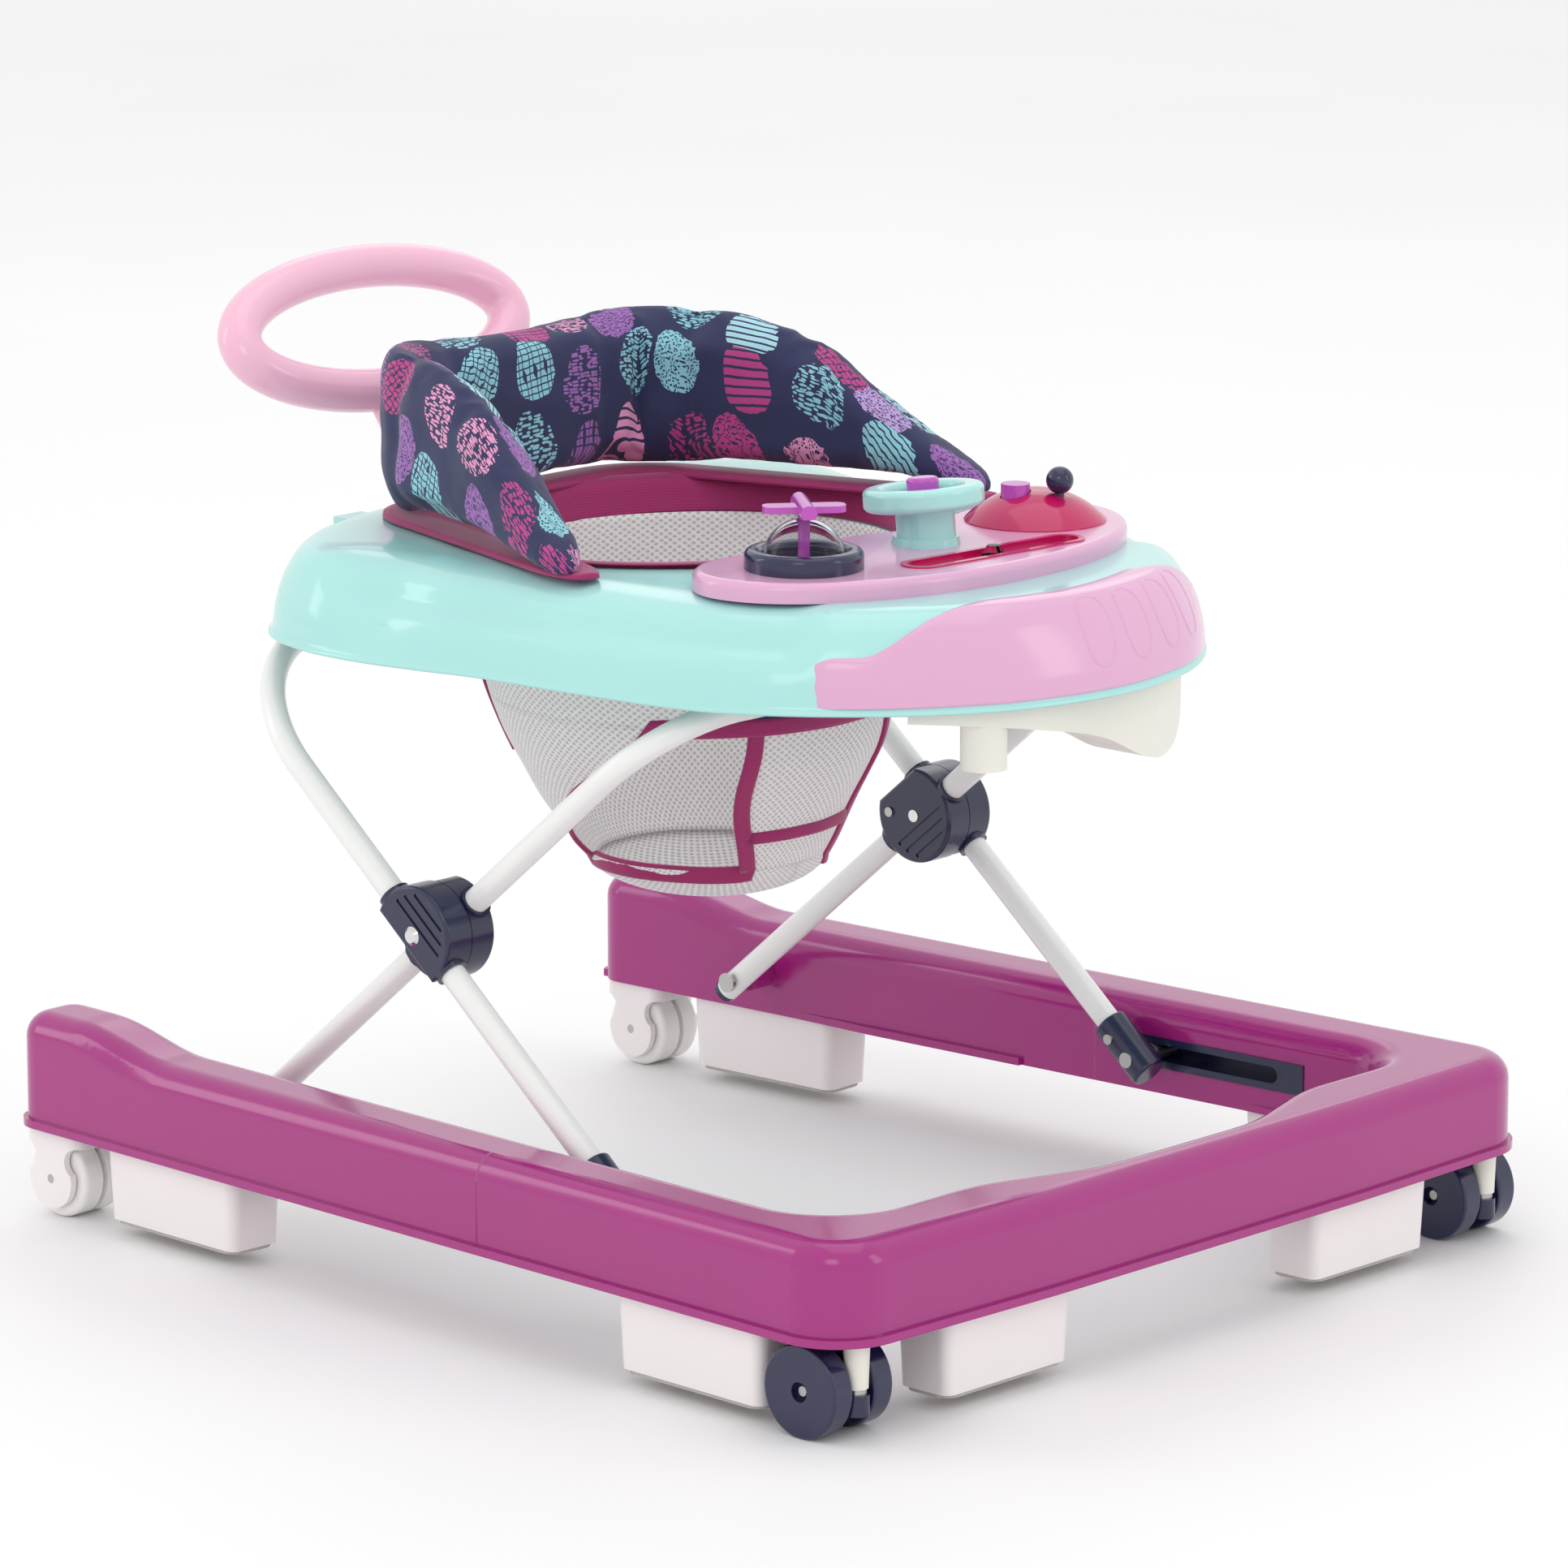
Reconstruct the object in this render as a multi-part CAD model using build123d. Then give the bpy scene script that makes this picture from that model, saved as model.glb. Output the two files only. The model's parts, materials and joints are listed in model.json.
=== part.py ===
"""Folding baby walker, in millimetres.

+X points forward, +Y to the child's left and +Z up. The origin is on the floor at the middle of the base.
A U-shaped base on two swivel casters and two fixed wheels carries a scissor of two bent tubes, which carries
the tray with its toys, the seat and the push handle. Each piece is written as its own STEP file.
"""

from build123d import *
import math
import os

# Base: a U of hollow rails, open at the back and wider at the front
BASE_LENGTH = 746.0
BASE_FRONT_WIDTH = 651.0
BASE_REAR_WIDTH = 584.0
RAIL_WIDTH = 53.0
RAIL_WALL = 3.0
FLANGE_Z = 58.0
RAIL_HEIGHT = 60.0
REAR_HUMP = 13.0
FRONT_BOW = 6.0
BAR_DEPTH = 61.0
BAR_MIDDLE_DEPTH = 34.0
LIP = 3.0
LIP_HEIGHT = 5.0
RAIL_EDGE_RADIUS = 16.0

# Wheels
CASTER_WHEEL_RADIUS = 28.0
CASTER_WHEEL_WIDTH = 16.0
CASTER_TRAIL = 22.0
CASTER_INSET_X = 20.0
CASTER_Y = 291.0
CASTER_SLOT = 9.0
STEM_RADIUS = 8.0
STEM_TOP = 92.0
KINGPIN_RADIUS = 3.0
REAR_WHEEL_RADIUS = 26.0
REAR_WHEEL_WIDTH = 34.0
REAR_WHEEL_INSET = 29.0
AXLE_RADIUS = 3.0
RUNNING_FIT = 0.05
GAP = 0.6

# Floor pads that stop the base at a step
PAD_WIDTH = 44.0
PAD_BOTTOM = 10.5
SOLE_THICKNESS = 2.5
SIDE_PAD_LENGTH = 122.0
BAR_PAD_LENGTH = 112.0

# Scissor frame
TUBE_RADIUS = 8.0
TUBE_WALL = 1.2
INNER_BEND = 65.0
OUTER_BEND = 100.0
LEG_ANGLE = 40.0
PIVOT_X = -218.5
PIVOT_Z = 85.0
LOWER_ARM = 214.7
LEG_LENGTH = 451.2
OUTER_LEG_Y = 238.0
INNER_LEG_Y = 217.0
FOLD_TRAVEL = 28.0
PIN_RADIUS = 4.0
SLIDER_RADIUS = 5.0
SLIDER_PLAY = 0.4
TRACK_DEPTH = 20.0
TRACK_END = 26.0
TRACK_HALF_HEIGHT = 10.0
BUSH_RADIUS = 9.0
JOINT_RADIUS = 31.0
CAP_RADIUS = 11.5

# Tray, in half-outline points from the rear to the front
TRAY_BOTTOM = 386.0
TRAY_TOP = 444.0
TRAY_WALL = 4.0
TRAY_LIP = 2.0
TRAY_HALF = [(-272, 0), (-264, 90), (-243, 165), (-205, 218), (-160, 239), (-111, 243), (-60, 236), (-16, 227),
             (60, 221), (137, 211), (180, 193), (218, 165), (252, 130), (279, 88), (293, 44), (298, 0)]
TRAY_STEPS = [(0, 0.0), (16, 2.5), (36, 9.0), (50, 19.0), (58, 32.0)]
SEAT_HOLE_X = (-195.0, 78.0)
SEAT_HOLE_HALF_WIDTH = 158.0
SEAT_HOLE_WALL = 3.0
BUMPER_THICKNESS = 2.0
BUMPER_REAR_X = 206.0

# Toy panel
PANEL_HEIGHT = 12.0
PANEL_HALF = [(92, 0), (92, 60), (80, 110), (86, 146), (112, 168), (150, 165), (180, 142), (205, 100), (219, 45),
              (222, 0)]
SPINNER_XY = (140.0, -108.0)
DOME_XY = (138.0, 104.0)
WHEEL_XY = (141.0, 0.0)
STEERING_TILT = 6.0
STEERING_RADIUS = 37.0

# Handle
HANDLE_CENTRE = (-333.0, 0.0, 536.0)
HANDLE_TILT = 36.0
HANDLE_HALF_WIDTH = 118.0
HANDLE_HALF_HEIGHT = 44.0
GRIP_RADIUS = 14.0
NECK_WIDTH = 62.0
NECK_THICKNESS = 22.0

# Seat
PAD_TOP = 560.0
PAD_HALF_THICKNESS = 17.0
PAD_REAR_X = -212.0
PAD_CORNER_Y = 112.0
PAD_FRONT_X = 35.0
PAD_FRONT_Y = 188.0
SLING_WALL = 3.0
SLING_STEPS = [(424, -58, 130, 145), (400, -57, 129, 142), (376, -56, 128, 138), (343, -54, 125, 130),
               (314, -50, 117, 121), (273, -50, 97, 98), (245, -44, 81, 80), (226, -37, 63, 60),
               (213, -34, 40, 38)]
LEG_HOLE_TURN = 70.0
LEG_HOLE = [(26, 340), (74, 336), (64, 237), (-36, 237)]

# Worked out from the above
HALF_LENGTH = BASE_LENGTH / 2
WALL_X = HALF_LENGTH - LIP
TAPER = (BASE_FRONT_WIDTH - BASE_REAR_WIDTH) / 2 / BASE_LENGTH
TAPER_DEG = math.degrees(math.atan(TAPER))
RAIL_TOP = FLANGE_Z + RAIL_HEIGHT
CASTER_X = HALF_LENGTH - LIP - CASTER_INSET_X
COS = math.cos(math.radians(LEG_ANGLE))
SIN = math.sin(math.radians(LEG_ANGLE))
CROSS = (PIVOT_X + LOWER_ARM * COS, PIVOT_Z + LOWER_ARM * SIN)
SLIDER_X = PIVOT_X + 2 * LOWER_ARM * COS
SLIDER_FAR_X = PIVOT_X + 2 * LOWER_ARM * math.cos(math.radians(LEG_ANGLE - FOLD_TRAVEL))
FRONT_BAR_X = PIVOT_X + LEG_LENGTH * COS
REAR_BAR_X = SLIDER_X - LEG_LENGTH * COS
BAR_Z = PIVOT_Z + LEG_LENGTH * SIN
PANEL_TOP = TRAY_TOP + PANEL_HEIGHT


def save(name, *solids):
    """Write one node, made of one or more separate solids."""
    pieces = [piece for solid in solids for piece in solid.solids()]
    export_step(pieces[0] if len(pieces) == 1 else Compound(pieces), f"parts/{name}.step")


def mirrored(shape):
    """The same piece on the other side of the walker."""
    return mirror(shape, about=Plane.XZ)


def rod_y(radius, x, z, y_from, y_to):
    """A cylinder along Y."""
    return Pos(x, (y_from + y_to) / 2, z) * Rot(X=90) * Cylinder(radius, abs(y_to - y_from))


def rod_z(radius, x, y, z_from, z_to, top_radius=None):
    """A cylinder or a cone along Z."""
    body = Cylinder(radius, z_to - z_from) if top_radius is None else Cone(radius, top_radius, z_to - z_from)
    return Pos(x, y, (z_from + z_to) / 2) * body


def block(x, y, z):
    """A box from its three ranges."""
    centre = Pos((x[0] + x[1]) / 2, (y[0] + y[1]) / 2, (z[0] + z[1]) / 2)
    return centre * Box(x[1] - x[0], y[1] - y[0], z[1] - z[0])


def side_prism(points, half_width):
    """A solid with this outline in the XZ plane, from -half_width to +half_width in Y."""
    outline = Polyline(*[(x, 0, z) for x, z in points], close=True)
    return extrude(make_face(outline), amount=half_width, dir=(0, 1, 0), both=True)


# ---------------------------------------------------------------- base

def rail_outer_y(x):
    return BASE_REAR_WIDTH / 2 - LIP + TAPER * (x + HALF_LENGTH)


def rail_inner_y(x):
    return rail_outer_y(x) - RAIL_WIDTH


def rail_middle_y(x):
    return rail_outer_y(x) - RAIL_WIDTH / 2


def base_face():
    """The U in plan, at the outside of the walls."""
    corner_x = WALL_X - FRONT_BOW
    inner_x = WALL_X - BAR_DEPTH
    middle_x = WALL_X - BAR_MIDDLE_DEPTH
    half = [(-WALL_X, rail_inner_y(-WALL_X), 20), (-WALL_X, rail_outer_y(-WALL_X), 20),
            (corner_x, rail_outer_y(corner_x), 38), (WALL_X, 140, 1500)]
    inner = [(middle_x, 70, 120), (inner_x, 150, 120), (inner_x, rail_inner_y(inner_x), 45)]
    loop = half + [(x, -y, r) for x, y, r in reversed(half)]
    loop += [(x, -y, r) for x, y, r in reversed(inner)] + inner
    return make_face(FilletPolyline(*[(x, y) for x, y, _ in loop], radius=[r for _, _, r in loop], close=True))


def rail_side_profile(drop):
    """The rails' height from the side: a hump over the rear wheels, then level."""
    top = RAIL_TOP - drop
    crest = top + REAR_HUMP
    over = HALF_LENGTH + 10
    rear = Line((-over, 0, crest), (-WALL_X + 48, 0, crest))
    slope = Spline((-WALL_X + 48, 0, crest), (-WALL_X + 140, 0, top), tangents=[(1, 0, 0), (1, 0, 0)])
    rest = Polyline((-WALL_X + 140, 0, top), (over, 0, top), (over, 0, FLANGE_Z), (-over, 0, FLANGE_Z),
                    (-over, 0, crest))
    face = make_face(Curve([rear, slope, rest]))
    return extrude(face, amount=BASE_FRONT_WIDTH, dir=(0, 1, 0), both=True)


def rounded_channel(face, drop, radius):
    """A U-shaped solid with rounded top edges."""
    prism = Pos(0, 0, FLANGE_Z) * extrude(face, amount=RAIL_HEIGHT + 3 * REAR_HUMP)
    solid = (prism & rail_side_profile(drop)).solid()
    rim = []
    for wall in solid.faces():
        if abs(wall.normal_at().Z) < 0.2:
            rim += [e for e in wall.edges() if e.center().Z > RAIL_TOP - 20 and abs((e % 0.5).Z) < 0.7]
    unique = {round(e.center().X, 3) + 1000 * round(e.center().Y, 3): e for e in rim}
    return fillet(list(unique.values()), radius=radius)


def pad_places():
    """Centre x, y, turn about Z and length of each floor pad, on the left side."""
    rear_x = -WALL_X + 142
    front_x = CASTER_X - 115
    bar_x = WALL_X - 31
    return {"side_rear": (rear_x, rail_middle_y(rear_x), TAPER_DEG, SIDE_PAD_LENGTH),
            "side_front": (front_x, rail_middle_y(front_x), TAPER_DEG, SIDE_PAD_LENGTH),
            "bar": (bar_x, 168, 90, BAR_PAD_LENGTH)}


def pad_screw_spots():
    """Two screws in each floor pad, on the left side."""
    spots = []
    for x, y, turn, length in pad_places().values():
        reach = length / 2 - 28
        along = math.radians(turn)
        spots += [(x + s * reach * math.cos(along), y + s * reach * math.sin(along)) for s in (-1, 1)]
    return spots


SCREW_SEAT = 60.0
BOSS_BOTTOM = 66.0


def base_shell():
    face = base_face()
    outer = rounded_channel(face, 0, RAIL_EDGE_RADIUS)
    lip_face = offset(face, amount=LIP, kind=Kind.ARC)
    outer += Pos(0, 0, FLANGE_Z) * extrude(lip_face, amount=LIP_HEIGHT)
    inner_cut = Pos(0, 0, FLANGE_Z) * extrude(offset(face, amount=0.01), amount=LIP_HEIGHT)
    hollow = rounded_channel(offset(face, amount=-RAIL_WALL, kind=Kind.ARC), RAIL_WALL,
                             RAIL_EDGE_RADIUS - RAIL_WALL)
    # the lip runs along the outside only
    inside_lip = block((-HALF_LENGTH - 9, WALL_X - BAR_DEPTH), (-rail_inner_y(-WALL_X) - 8, rail_inner_y(-WALL_X) + 8),
                       (FLANGE_Z, FLANGE_Z + LIP_HEIGHT))
    inside_lip += block((0, WALL_X - BAR_MIDDLE_DEPTH - 6), (-rail_inner_y(0) - 8, rail_inner_y(0) + 8),
                        (FLANGE_Z, FLANGE_Z + LIP_HEIGHT))
    outer -= inside_lip - inner_cut
    posts = base_posts() & outer
    shell = outer - hollow + posts
    holes = [rod_z(1.8, x, y, BOSS_BOTTOM - 1, SCREW_SEAT + 26) for x, y in pad_screw_spots()]
    holes += [rod_z(STEM_RADIUS, CASTER_X, CASTER_Y, FLANGE_Z - 1, STEM_TOP), track_envelope(),
              rod_y(BUSH_RADIUS, PIVOT_X, PIVOT_Z, 200, rail_inner_y(PIVOT_X) + RAIL_WALL + 4)]
    for hole in holes:
        shell -= hole
        shell -= mirrored(hole)
    return shell


def base_posts():
    """Columns from the rail's ceiling down to the pads, the casters and the rear wheels."""
    top = RAIL_TOP + REAR_HUMP
    posts = [rod_z(5, x, y, BOSS_BOTTOM, top) for x, y in pad_screw_spots()]
    posts.append(rod_z(11, CASTER_X, CASTER_Y, BOSS_BOTTOM, top))
    posts.append(rod_z(6, rear_wheel_x(), rail_middle_y(rear_wheel_x()), BOSS_BOTTOM, top))
    return Compound(posts + [mirrored(post) for post in posts])


def along_wall(shape):
    """Place a shape made with local X along the rail's inner wall and local Y into the rail."""
    middle = (SLIDER_X + SLIDER_FAR_X) / 2
    return Pos(middle, rail_inner_y(middle), PIVOT_Z) * Rot(Z=TAPER_DEG) * shape


def track_envelope():
    """The outside of the guide that the sliding pin runs in."""
    half = (SLIDER_FAR_X - SLIDER_X) / 2 + TRACK_END
    return along_wall(block((-half, half), (-1, TRACK_DEPTH), (-TRACK_HALF_HEIGHT, TRACK_HALF_HEIGHT)))


def slider_track():
    radius = SLIDER_RADIUS + SLIDER_PLAY
    half = (SLIDER_FAR_X - SLIDER_X) / 2 + SLIDER_PLAY
    slot = block((-half, half), (-2, TRACK_DEPTH - 3), (-radius, radius))
    slot += rod_y(radius, -half, 0, -2, TRACK_DEPTH - 3) + rod_y(radius, half, 0, -2, TRACK_DEPTH - 3)
    return track_envelope() - along_wall(slot)


def pivot_bracket():
    """A bush through the rail's inner wall that holds the rear pivot pin."""
    wall = rail_inner_y(PIVOT_X)
    bush = rod_y(BUSH_RADIUS, PIVOT_X, PIVOT_Z, INNER_LEG_Y + TUBE_RADIUS + GAP, wall + RAIL_WALL + 4)
    bush += rod_y(BUSH_RADIUS + 5, PIVOT_X, PIVOT_Z, wall + RAIL_WALL + 4, wall + RAIL_WALL + 12)
    return bush - rod_y(PIN_RADIUS, PIVOT_X, PIVOT_Z, 190, wall + RAIL_WALL + 13)


def pivot_pin():
    pin = rod_y(PIN_RADIUS, PIVOT_X, PIVOT_Z, INNER_LEG_Y - TUBE_RADIUS - 3, rail_inner_y(PIVOT_X) + RAIL_WALL + 12)
    return pin + rod_y(6.5, PIVOT_X, PIVOT_Z, INNER_LEG_Y - TUBE_RADIUS - 4, INNER_LEG_Y - TUBE_RADIUS - 1)


def floor_pad(length):
    """A white step-stop block, narrower towards the floor, on the rail's underside."""
    height = FLANGE_Z - PAD_BOTTOM
    body = extrude(RectangleRounded(length, PAD_WIDTH, 9), amount=-height, taper=3)
    spigot = extrude(RectangleRounded(length - 34, PAD_WIDTH - 20, 6), amount=BOSS_BOTTOM - FLANGE_Z)
    body = body + spigot
    for s in (-1, 1):
        body -= rod_z(2.1, s * (length / 2 - 28), 0, -60, 20)
        body -= rod_z(4.5, s * (length / 2 - 28), 0, -60, SCREW_SEAT - FLANGE_Z)
    return Pos(0, 0, FLANGE_Z) * body


def pad_sole(length):
    """The grey grip strip under a block."""
    return Pos(0, 0, PAD_BOTTOM - SOLE_THICKNESS) * extrude(RectangleRounded(length - 8, PAD_WIDTH - 8, 10),
                                                           amount=SOLE_THICKNESS)


def pad_screw(x, y):
    screw = rod_z(4, x, y, SCREW_SEAT - 3, SCREW_SEAT)
    return screw + rod_z(1.75, x, y, SCREW_SEAT - 0.5, SCREW_SEAT + 22)


def rear_wheel_x():
    return -WALL_X + REAR_WHEEL_INSET


def wheel_housing():
    """The white fork under a rail's rear end, with scallops over the wheel."""
    x, y = rear_wheel_x(), rail_middle_y(rear_wheel_x())
    half = REAR_WHEEL_WIDTH / 2
    width = half + 6
    band = Pos(x, y, FLANGE_Z - 17) * extrude(RectangleRounded(50, 2 * width, 9), amount=17)
    top = Pos(x, y, FLANGE_Z) * extrude(RectangleRounded(34, 30, 5), amount=BOSS_BOTTOM - FLANGE_Z)
    ears = rod_y(19, x, REAR_WHEEL_RADIUS, y - width, y + width)
    ears += block((x - 15, x + 15), (y - width, y + width), (REAR_WHEEL_RADIUS, FLANGE_Z - 10))
    body = band + top + ears
    slot = block((x - 60, x + 60), (y - half - 1.5, y + half + 1.5), (-5, 43))
    slot += rod_y(REAR_WHEEL_RADIUS + 2.5, x, REAR_WHEEL_RADIUS, y - half - 1.5, y + half + 1.5)
    scallops = rod_y(9, x - 22, FLANGE_Z - 19, y - 60, y + 60) + rod_y(9, x + 22, FLANGE_Z - 19, y - 60, y + 60)
    return body - slot - scallops - rod_y(AXLE_RADIUS, x, REAR_WHEEL_RADIUS, y - 60, y + 60)


def rear_axle():
    x, y = rear_wheel_x(), rail_middle_y(rear_wheel_x())
    reach = REAR_WHEEL_WIDTH / 2 + 6
    return rod_y(AXLE_RADIUS, x, REAR_WHEEL_RADIUS, y - reach, y + reach)


def rear_wheel():
    """A white roller wheel with a middle groove."""
    x, y = rear_wheel_x(), rail_middle_y(rear_wheel_x())
    half = REAR_WHEEL_WIDTH / 2
    wheel = rod_y(REAR_WHEEL_RADIUS, x, REAR_WHEEL_RADIUS, y - half, y + half)
    wheel = fillet(wheel.edges().filter_by(GeomType.CIRCLE), radius=4)
    groove = rod_y(REAR_WHEEL_RADIUS + 1, x, REAR_WHEEL_RADIUS, y - 2, y + 2)
    groove -= rod_y(REAR_WHEEL_RADIUS - 4, x, REAR_WHEEL_RADIUS, y - 3, y + 3)
    return wheel - groove - rod_y(AXLE_RADIUS + RUNNING_FIT, x, REAR_WHEEL_RADIUS, y - 60, y + 60)


# ---------------------------------------------------------------- casters

STEM_BOTTOM = 30.0


def caster_stem():
    """The cream socket that hangs from a front corner."""
    stem = rod_z(STEM_RADIUS - 1, CASTER_X, CASTER_Y, STEM_BOTTOM, FLANGE_Z, top_radius=STEM_RADIUS)
    stem += rod_z(STEM_RADIUS, CASTER_X, CASTER_Y, FLANGE_Z, STEM_TOP)
    return stem - rod_z(KINGPIN_RADIUS + RUNNING_FIT, CASTER_X, CASTER_Y, 0, STEM_TOP - 4)


def kingpin():
    """The steel pin that a caster turns on, with its visible ring."""
    pin = rod_z(KINGPIN_RADIUS, CASTER_X, CASTER_Y, 14, STEM_TOP - 6)
    return pin + rod_z(6, CASTER_X, CASTER_Y, STEM_BOTTOM - 3.5, STEM_BOTTOM - 0.4)


def caster_fork():
    """The navy arm between a caster's two wheels."""
    axle_x = CASTER_X - CASTER_TRAIL
    half = CASTER_SLOT - 1.2
    hub = rod_y(12, axle_x, CASTER_WHEEL_RADIUS, CASTER_Y - half, CASTER_Y + half)
    arm = block((axle_x, CASTER_X), (CASTER_Y - half, CASTER_Y + half), (14, STEM_BOTTOM - 3.5))
    foot = rod_z(half, CASTER_X, CASTER_Y, 14, STEM_BOTTOM - 3.5)
    body = hub - block((CASTER_X - STEM_RADIUS - 3, CASTER_X), (CASTER_Y - 20, CASTER_Y + 20), (20, 60))
    body = body + arm + foot
    body -= rod_z(KINGPIN_RADIUS, CASTER_X, CASTER_Y, 12, 60)
    return body - rod_y(AXLE_RADIUS + RUNNING_FIT, axle_x, CASTER_WHEEL_RADIUS, CASTER_Y - 40, CASTER_Y + 40)


def caster_wheels():
    """Two navy discs with a recessed hub, either side of the arm."""
    axle_x = CASTER_X - CASTER_TRAIL
    discs = []
    for side in (-1, 1):
        near, far = CASTER_Y + side * CASTER_SLOT, CASTER_Y + side * (CASTER_SLOT + CASTER_WHEEL_WIDTH)
        disc = rod_y(CASTER_WHEEL_RADIUS, axle_x, CASTER_WHEEL_RADIUS, near, far)
        disc = fillet(disc.edges().filter_by(GeomType.CIRCLE), radius=1.8)
        disc -= rod_y(6, axle_x, CASTER_WHEEL_RADIUS, far - side * 5, far + side)
        discs.append(disc - rod_y(AXLE_RADIUS, axle_x, CASTER_WHEEL_RADIUS, CASTER_Y - 60, CASTER_Y + 60))
    return discs


def caster_axle():
    reach = CASTER_SLOT + CASTER_WHEEL_WIDTH - 3
    return rod_y(AXLE_RADIUS, CASTER_X - CASTER_TRAIL, CASTER_WHEEL_RADIUS, CASTER_Y - reach, CASTER_Y + reach)


# ---------------------------------------------------------------- scissor frame

def leg_plane(foot_x, forward):
    """A plane through a U-tube: local X runs up the legs from the foot, local Y across the walker."""
    along = Vector(forward * COS, 0, SIN)
    across = Vector(0, 1, 0)
    return Plane(origin=(foot_x, 0, PIVOT_Z), x_dir=along, z_dir=along.cross(across))


def u_tube(foot_x, forward, half_width, bend, start, bores):
    """A bent tube: two legs and a crossbar, with crosswise bores at the given distances up the legs."""
    plane = leg_plane(foot_x, forward)
    points = [(start, -half_width), (LEG_LENGTH, -half_width), (LEG_LENGTH, half_width), (start, half_width)]
    path = plane * FilletPolyline(*points, radius=bend)
    section = Plane(origin=path @ 0, z_dir=path % 0)
    tube = sweep(section * Circle(TUBE_RADIUS), path=path)
    tube -= sweep(section * Circle(TUBE_RADIUS - TUBE_WALL), path=path)
    for distance, radius in bores:
        spot = plane.from_local_coords((distance, 0, 0))
        tube -= rod_y(radius, spot.X, spot.Z, -300, 300)
    return tube


def in_leg_frame(foot_x, forward, shape, distance, y):
    """Place a shape made with local X up the leg and local Z pointing away from the legs' plane."""
    plane = leg_plane(foot_x, forward)
    spot = plane.from_local_coords((distance, 0, 0))
    frame = Plane(origin=(spot.X, y, spot.Z), x_dir=plane.x_dir, z_dir=plane.z_dir)
    return frame.location * shape


def foot_plug(y):
    """A plug in an inner leg's lower end."""
    plug = Rot(Y=90) * Cylinder(TUBE_RADIUS, 4) + Pos(4, 0, 0) * Rot(Y=90) * Cylinder(TUBE_RADIUS - TUBE_WALL, 5)
    return in_leg_frame(PIVOT_X, 1, plug, -14, y)


def end_cap():
    """The navy cap on an outer leg's lower end, which carries the sliding pin."""
    cap = Pos(8, 0, 0) * Rot(Y=90) * Cylinder(CAP_RADIUS, 44)
    cap = fillet(cap.edges().filter_by(GeomType.CIRCLE), radius=2)
    cap -= Pos(25, 0, 0) * Rot(Y=90) * Cylinder(TUBE_RADIUS, 30)
    cap -= Rot(X=90) * Cylinder(SLIDER_RADIUS, 40)
    return in_leg_frame(SLIDER_X, -1, cap, 0, OUTER_LEG_Y) - cap_screw()


def slider_pin():
    """The pin that slides along the rail, with a washer head."""
    tip = rail_inner_y(SLIDER_X) + TRACK_DEPTH - 5
    pin = rod_y(SLIDER_RADIUS, SLIDER_X, PIVOT_Z, OUTER_LEG_Y - CAP_RADIUS, tip)
    return pin + rod_y(7, SLIDER_X, PIVOT_Z, OUTER_LEG_Y + CAP_RADIUS, OUTER_LEG_Y + CAP_RADIUS + 1.6)


def cap_screw():
    plane = leg_plane(SLIDER_X, -1)
    spot = plane.from_local_coords((18, 0, 0))
    face = OUTER_LEG_Y - CAP_RADIUS
    return rod_y(3.4, spot.X, spot.Z, face - 1.6, face + 0.6)


def joint_half(y_from, y_to, forward, tube_y, flat):
    """Half of the navy joint: a disc clamped on one leg, with a flat side along the leg and ribs on its face."""
    foot = PIVOT_X if forward > 0 else SLIDER_X
    face_y = y_to if tube_y == OUTER_LEG_Y else y_from
    centre = Pos(CROSS[0], 0, CROSS[1])
    turn = Rot(Y=-LEG_ANGLE if forward > 0 else LEG_ANGLE - 180)
    body = centre * (rod_y(JOINT_RADIUS, 0, 0, y_from, y_to) & turn * block((-60, 60), (-300, 300), (-60, flat)))
    body = fillet(body.edges().filter_by(lambda e: abs(e.center().Y - face_y) < 0.01), radius=2.5)
    collar = in_leg_frame(foot, forward, Rot(Y=90) * Cylinder(TUBE_RADIUS + 2.2, 2 * JOINT_RADIUS + 3),
                          LOWER_ARM, tube_y)
    body += collar & block((-200, 200), (y_from, y_to), (0, 500))
    for away in (8, 15, 22):
        reach = math.sqrt(JOINT_RADIUS ** 2 - away ** 2) - 7
        groove = block((-reach, reach), (face_y - 1, face_y + 1), (-away - 1.2, -away + 1.2))
        body -= centre * turn * groove
    return body - in_leg_frame(foot, forward, Rot(Y=90) * Cylinder(TUBE_RADIUS, 140), LOWER_ARM, tube_y)


def inner_joint():
    body = joint_half(INNER_LEG_Y - 10, INNER_LEG_Y + 9.7, 1, INNER_LEG_Y, 24)
    return body - rod_y(PIN_RADIUS + RUNNING_FIT, *CROSS, 150, 300)


def outer_joint():
    body = joint_half(OUTER_LEG_Y - 10.7, OUTER_LEG_Y + 10, -1, OUTER_LEG_Y, 10)
    return body - rod_y(PIN_RADIUS, *CROSS, 150, 300)


def joint_rivet():
    """The bright rivet through both legs at the crossing."""
    shank = rod_y(PIN_RADIUS, *CROSS, INNER_LEG_Y - 10.5, OUTER_LEG_Y + 11)
    head = Pos(CROSS[0], OUTER_LEG_Y + 10, CROSS[1]) * Rot(X=-90) * Cone(6, 4, 1.8, align=(Align.CENTER, Align.CENTER, Align.MIN))
    return shank + head


def joint_screw():
    """A small screw head on the inner joint half."""
    x, z = CROSS[0] - 16 * COS - 13 * SIN, CROSS[1] - 16 * SIN + 13 * COS
    return rod_y(3.2, x, z, INNER_LEG_Y - 11.5, INNER_LEG_Y - 10)


# ---------------------------------------------------------------- tray

def closed_points(half):
    """A half outline and its mirror image, as one closed list."""
    return half + [(x, -y) for x, y in reversed(half[1:-1])]


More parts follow.
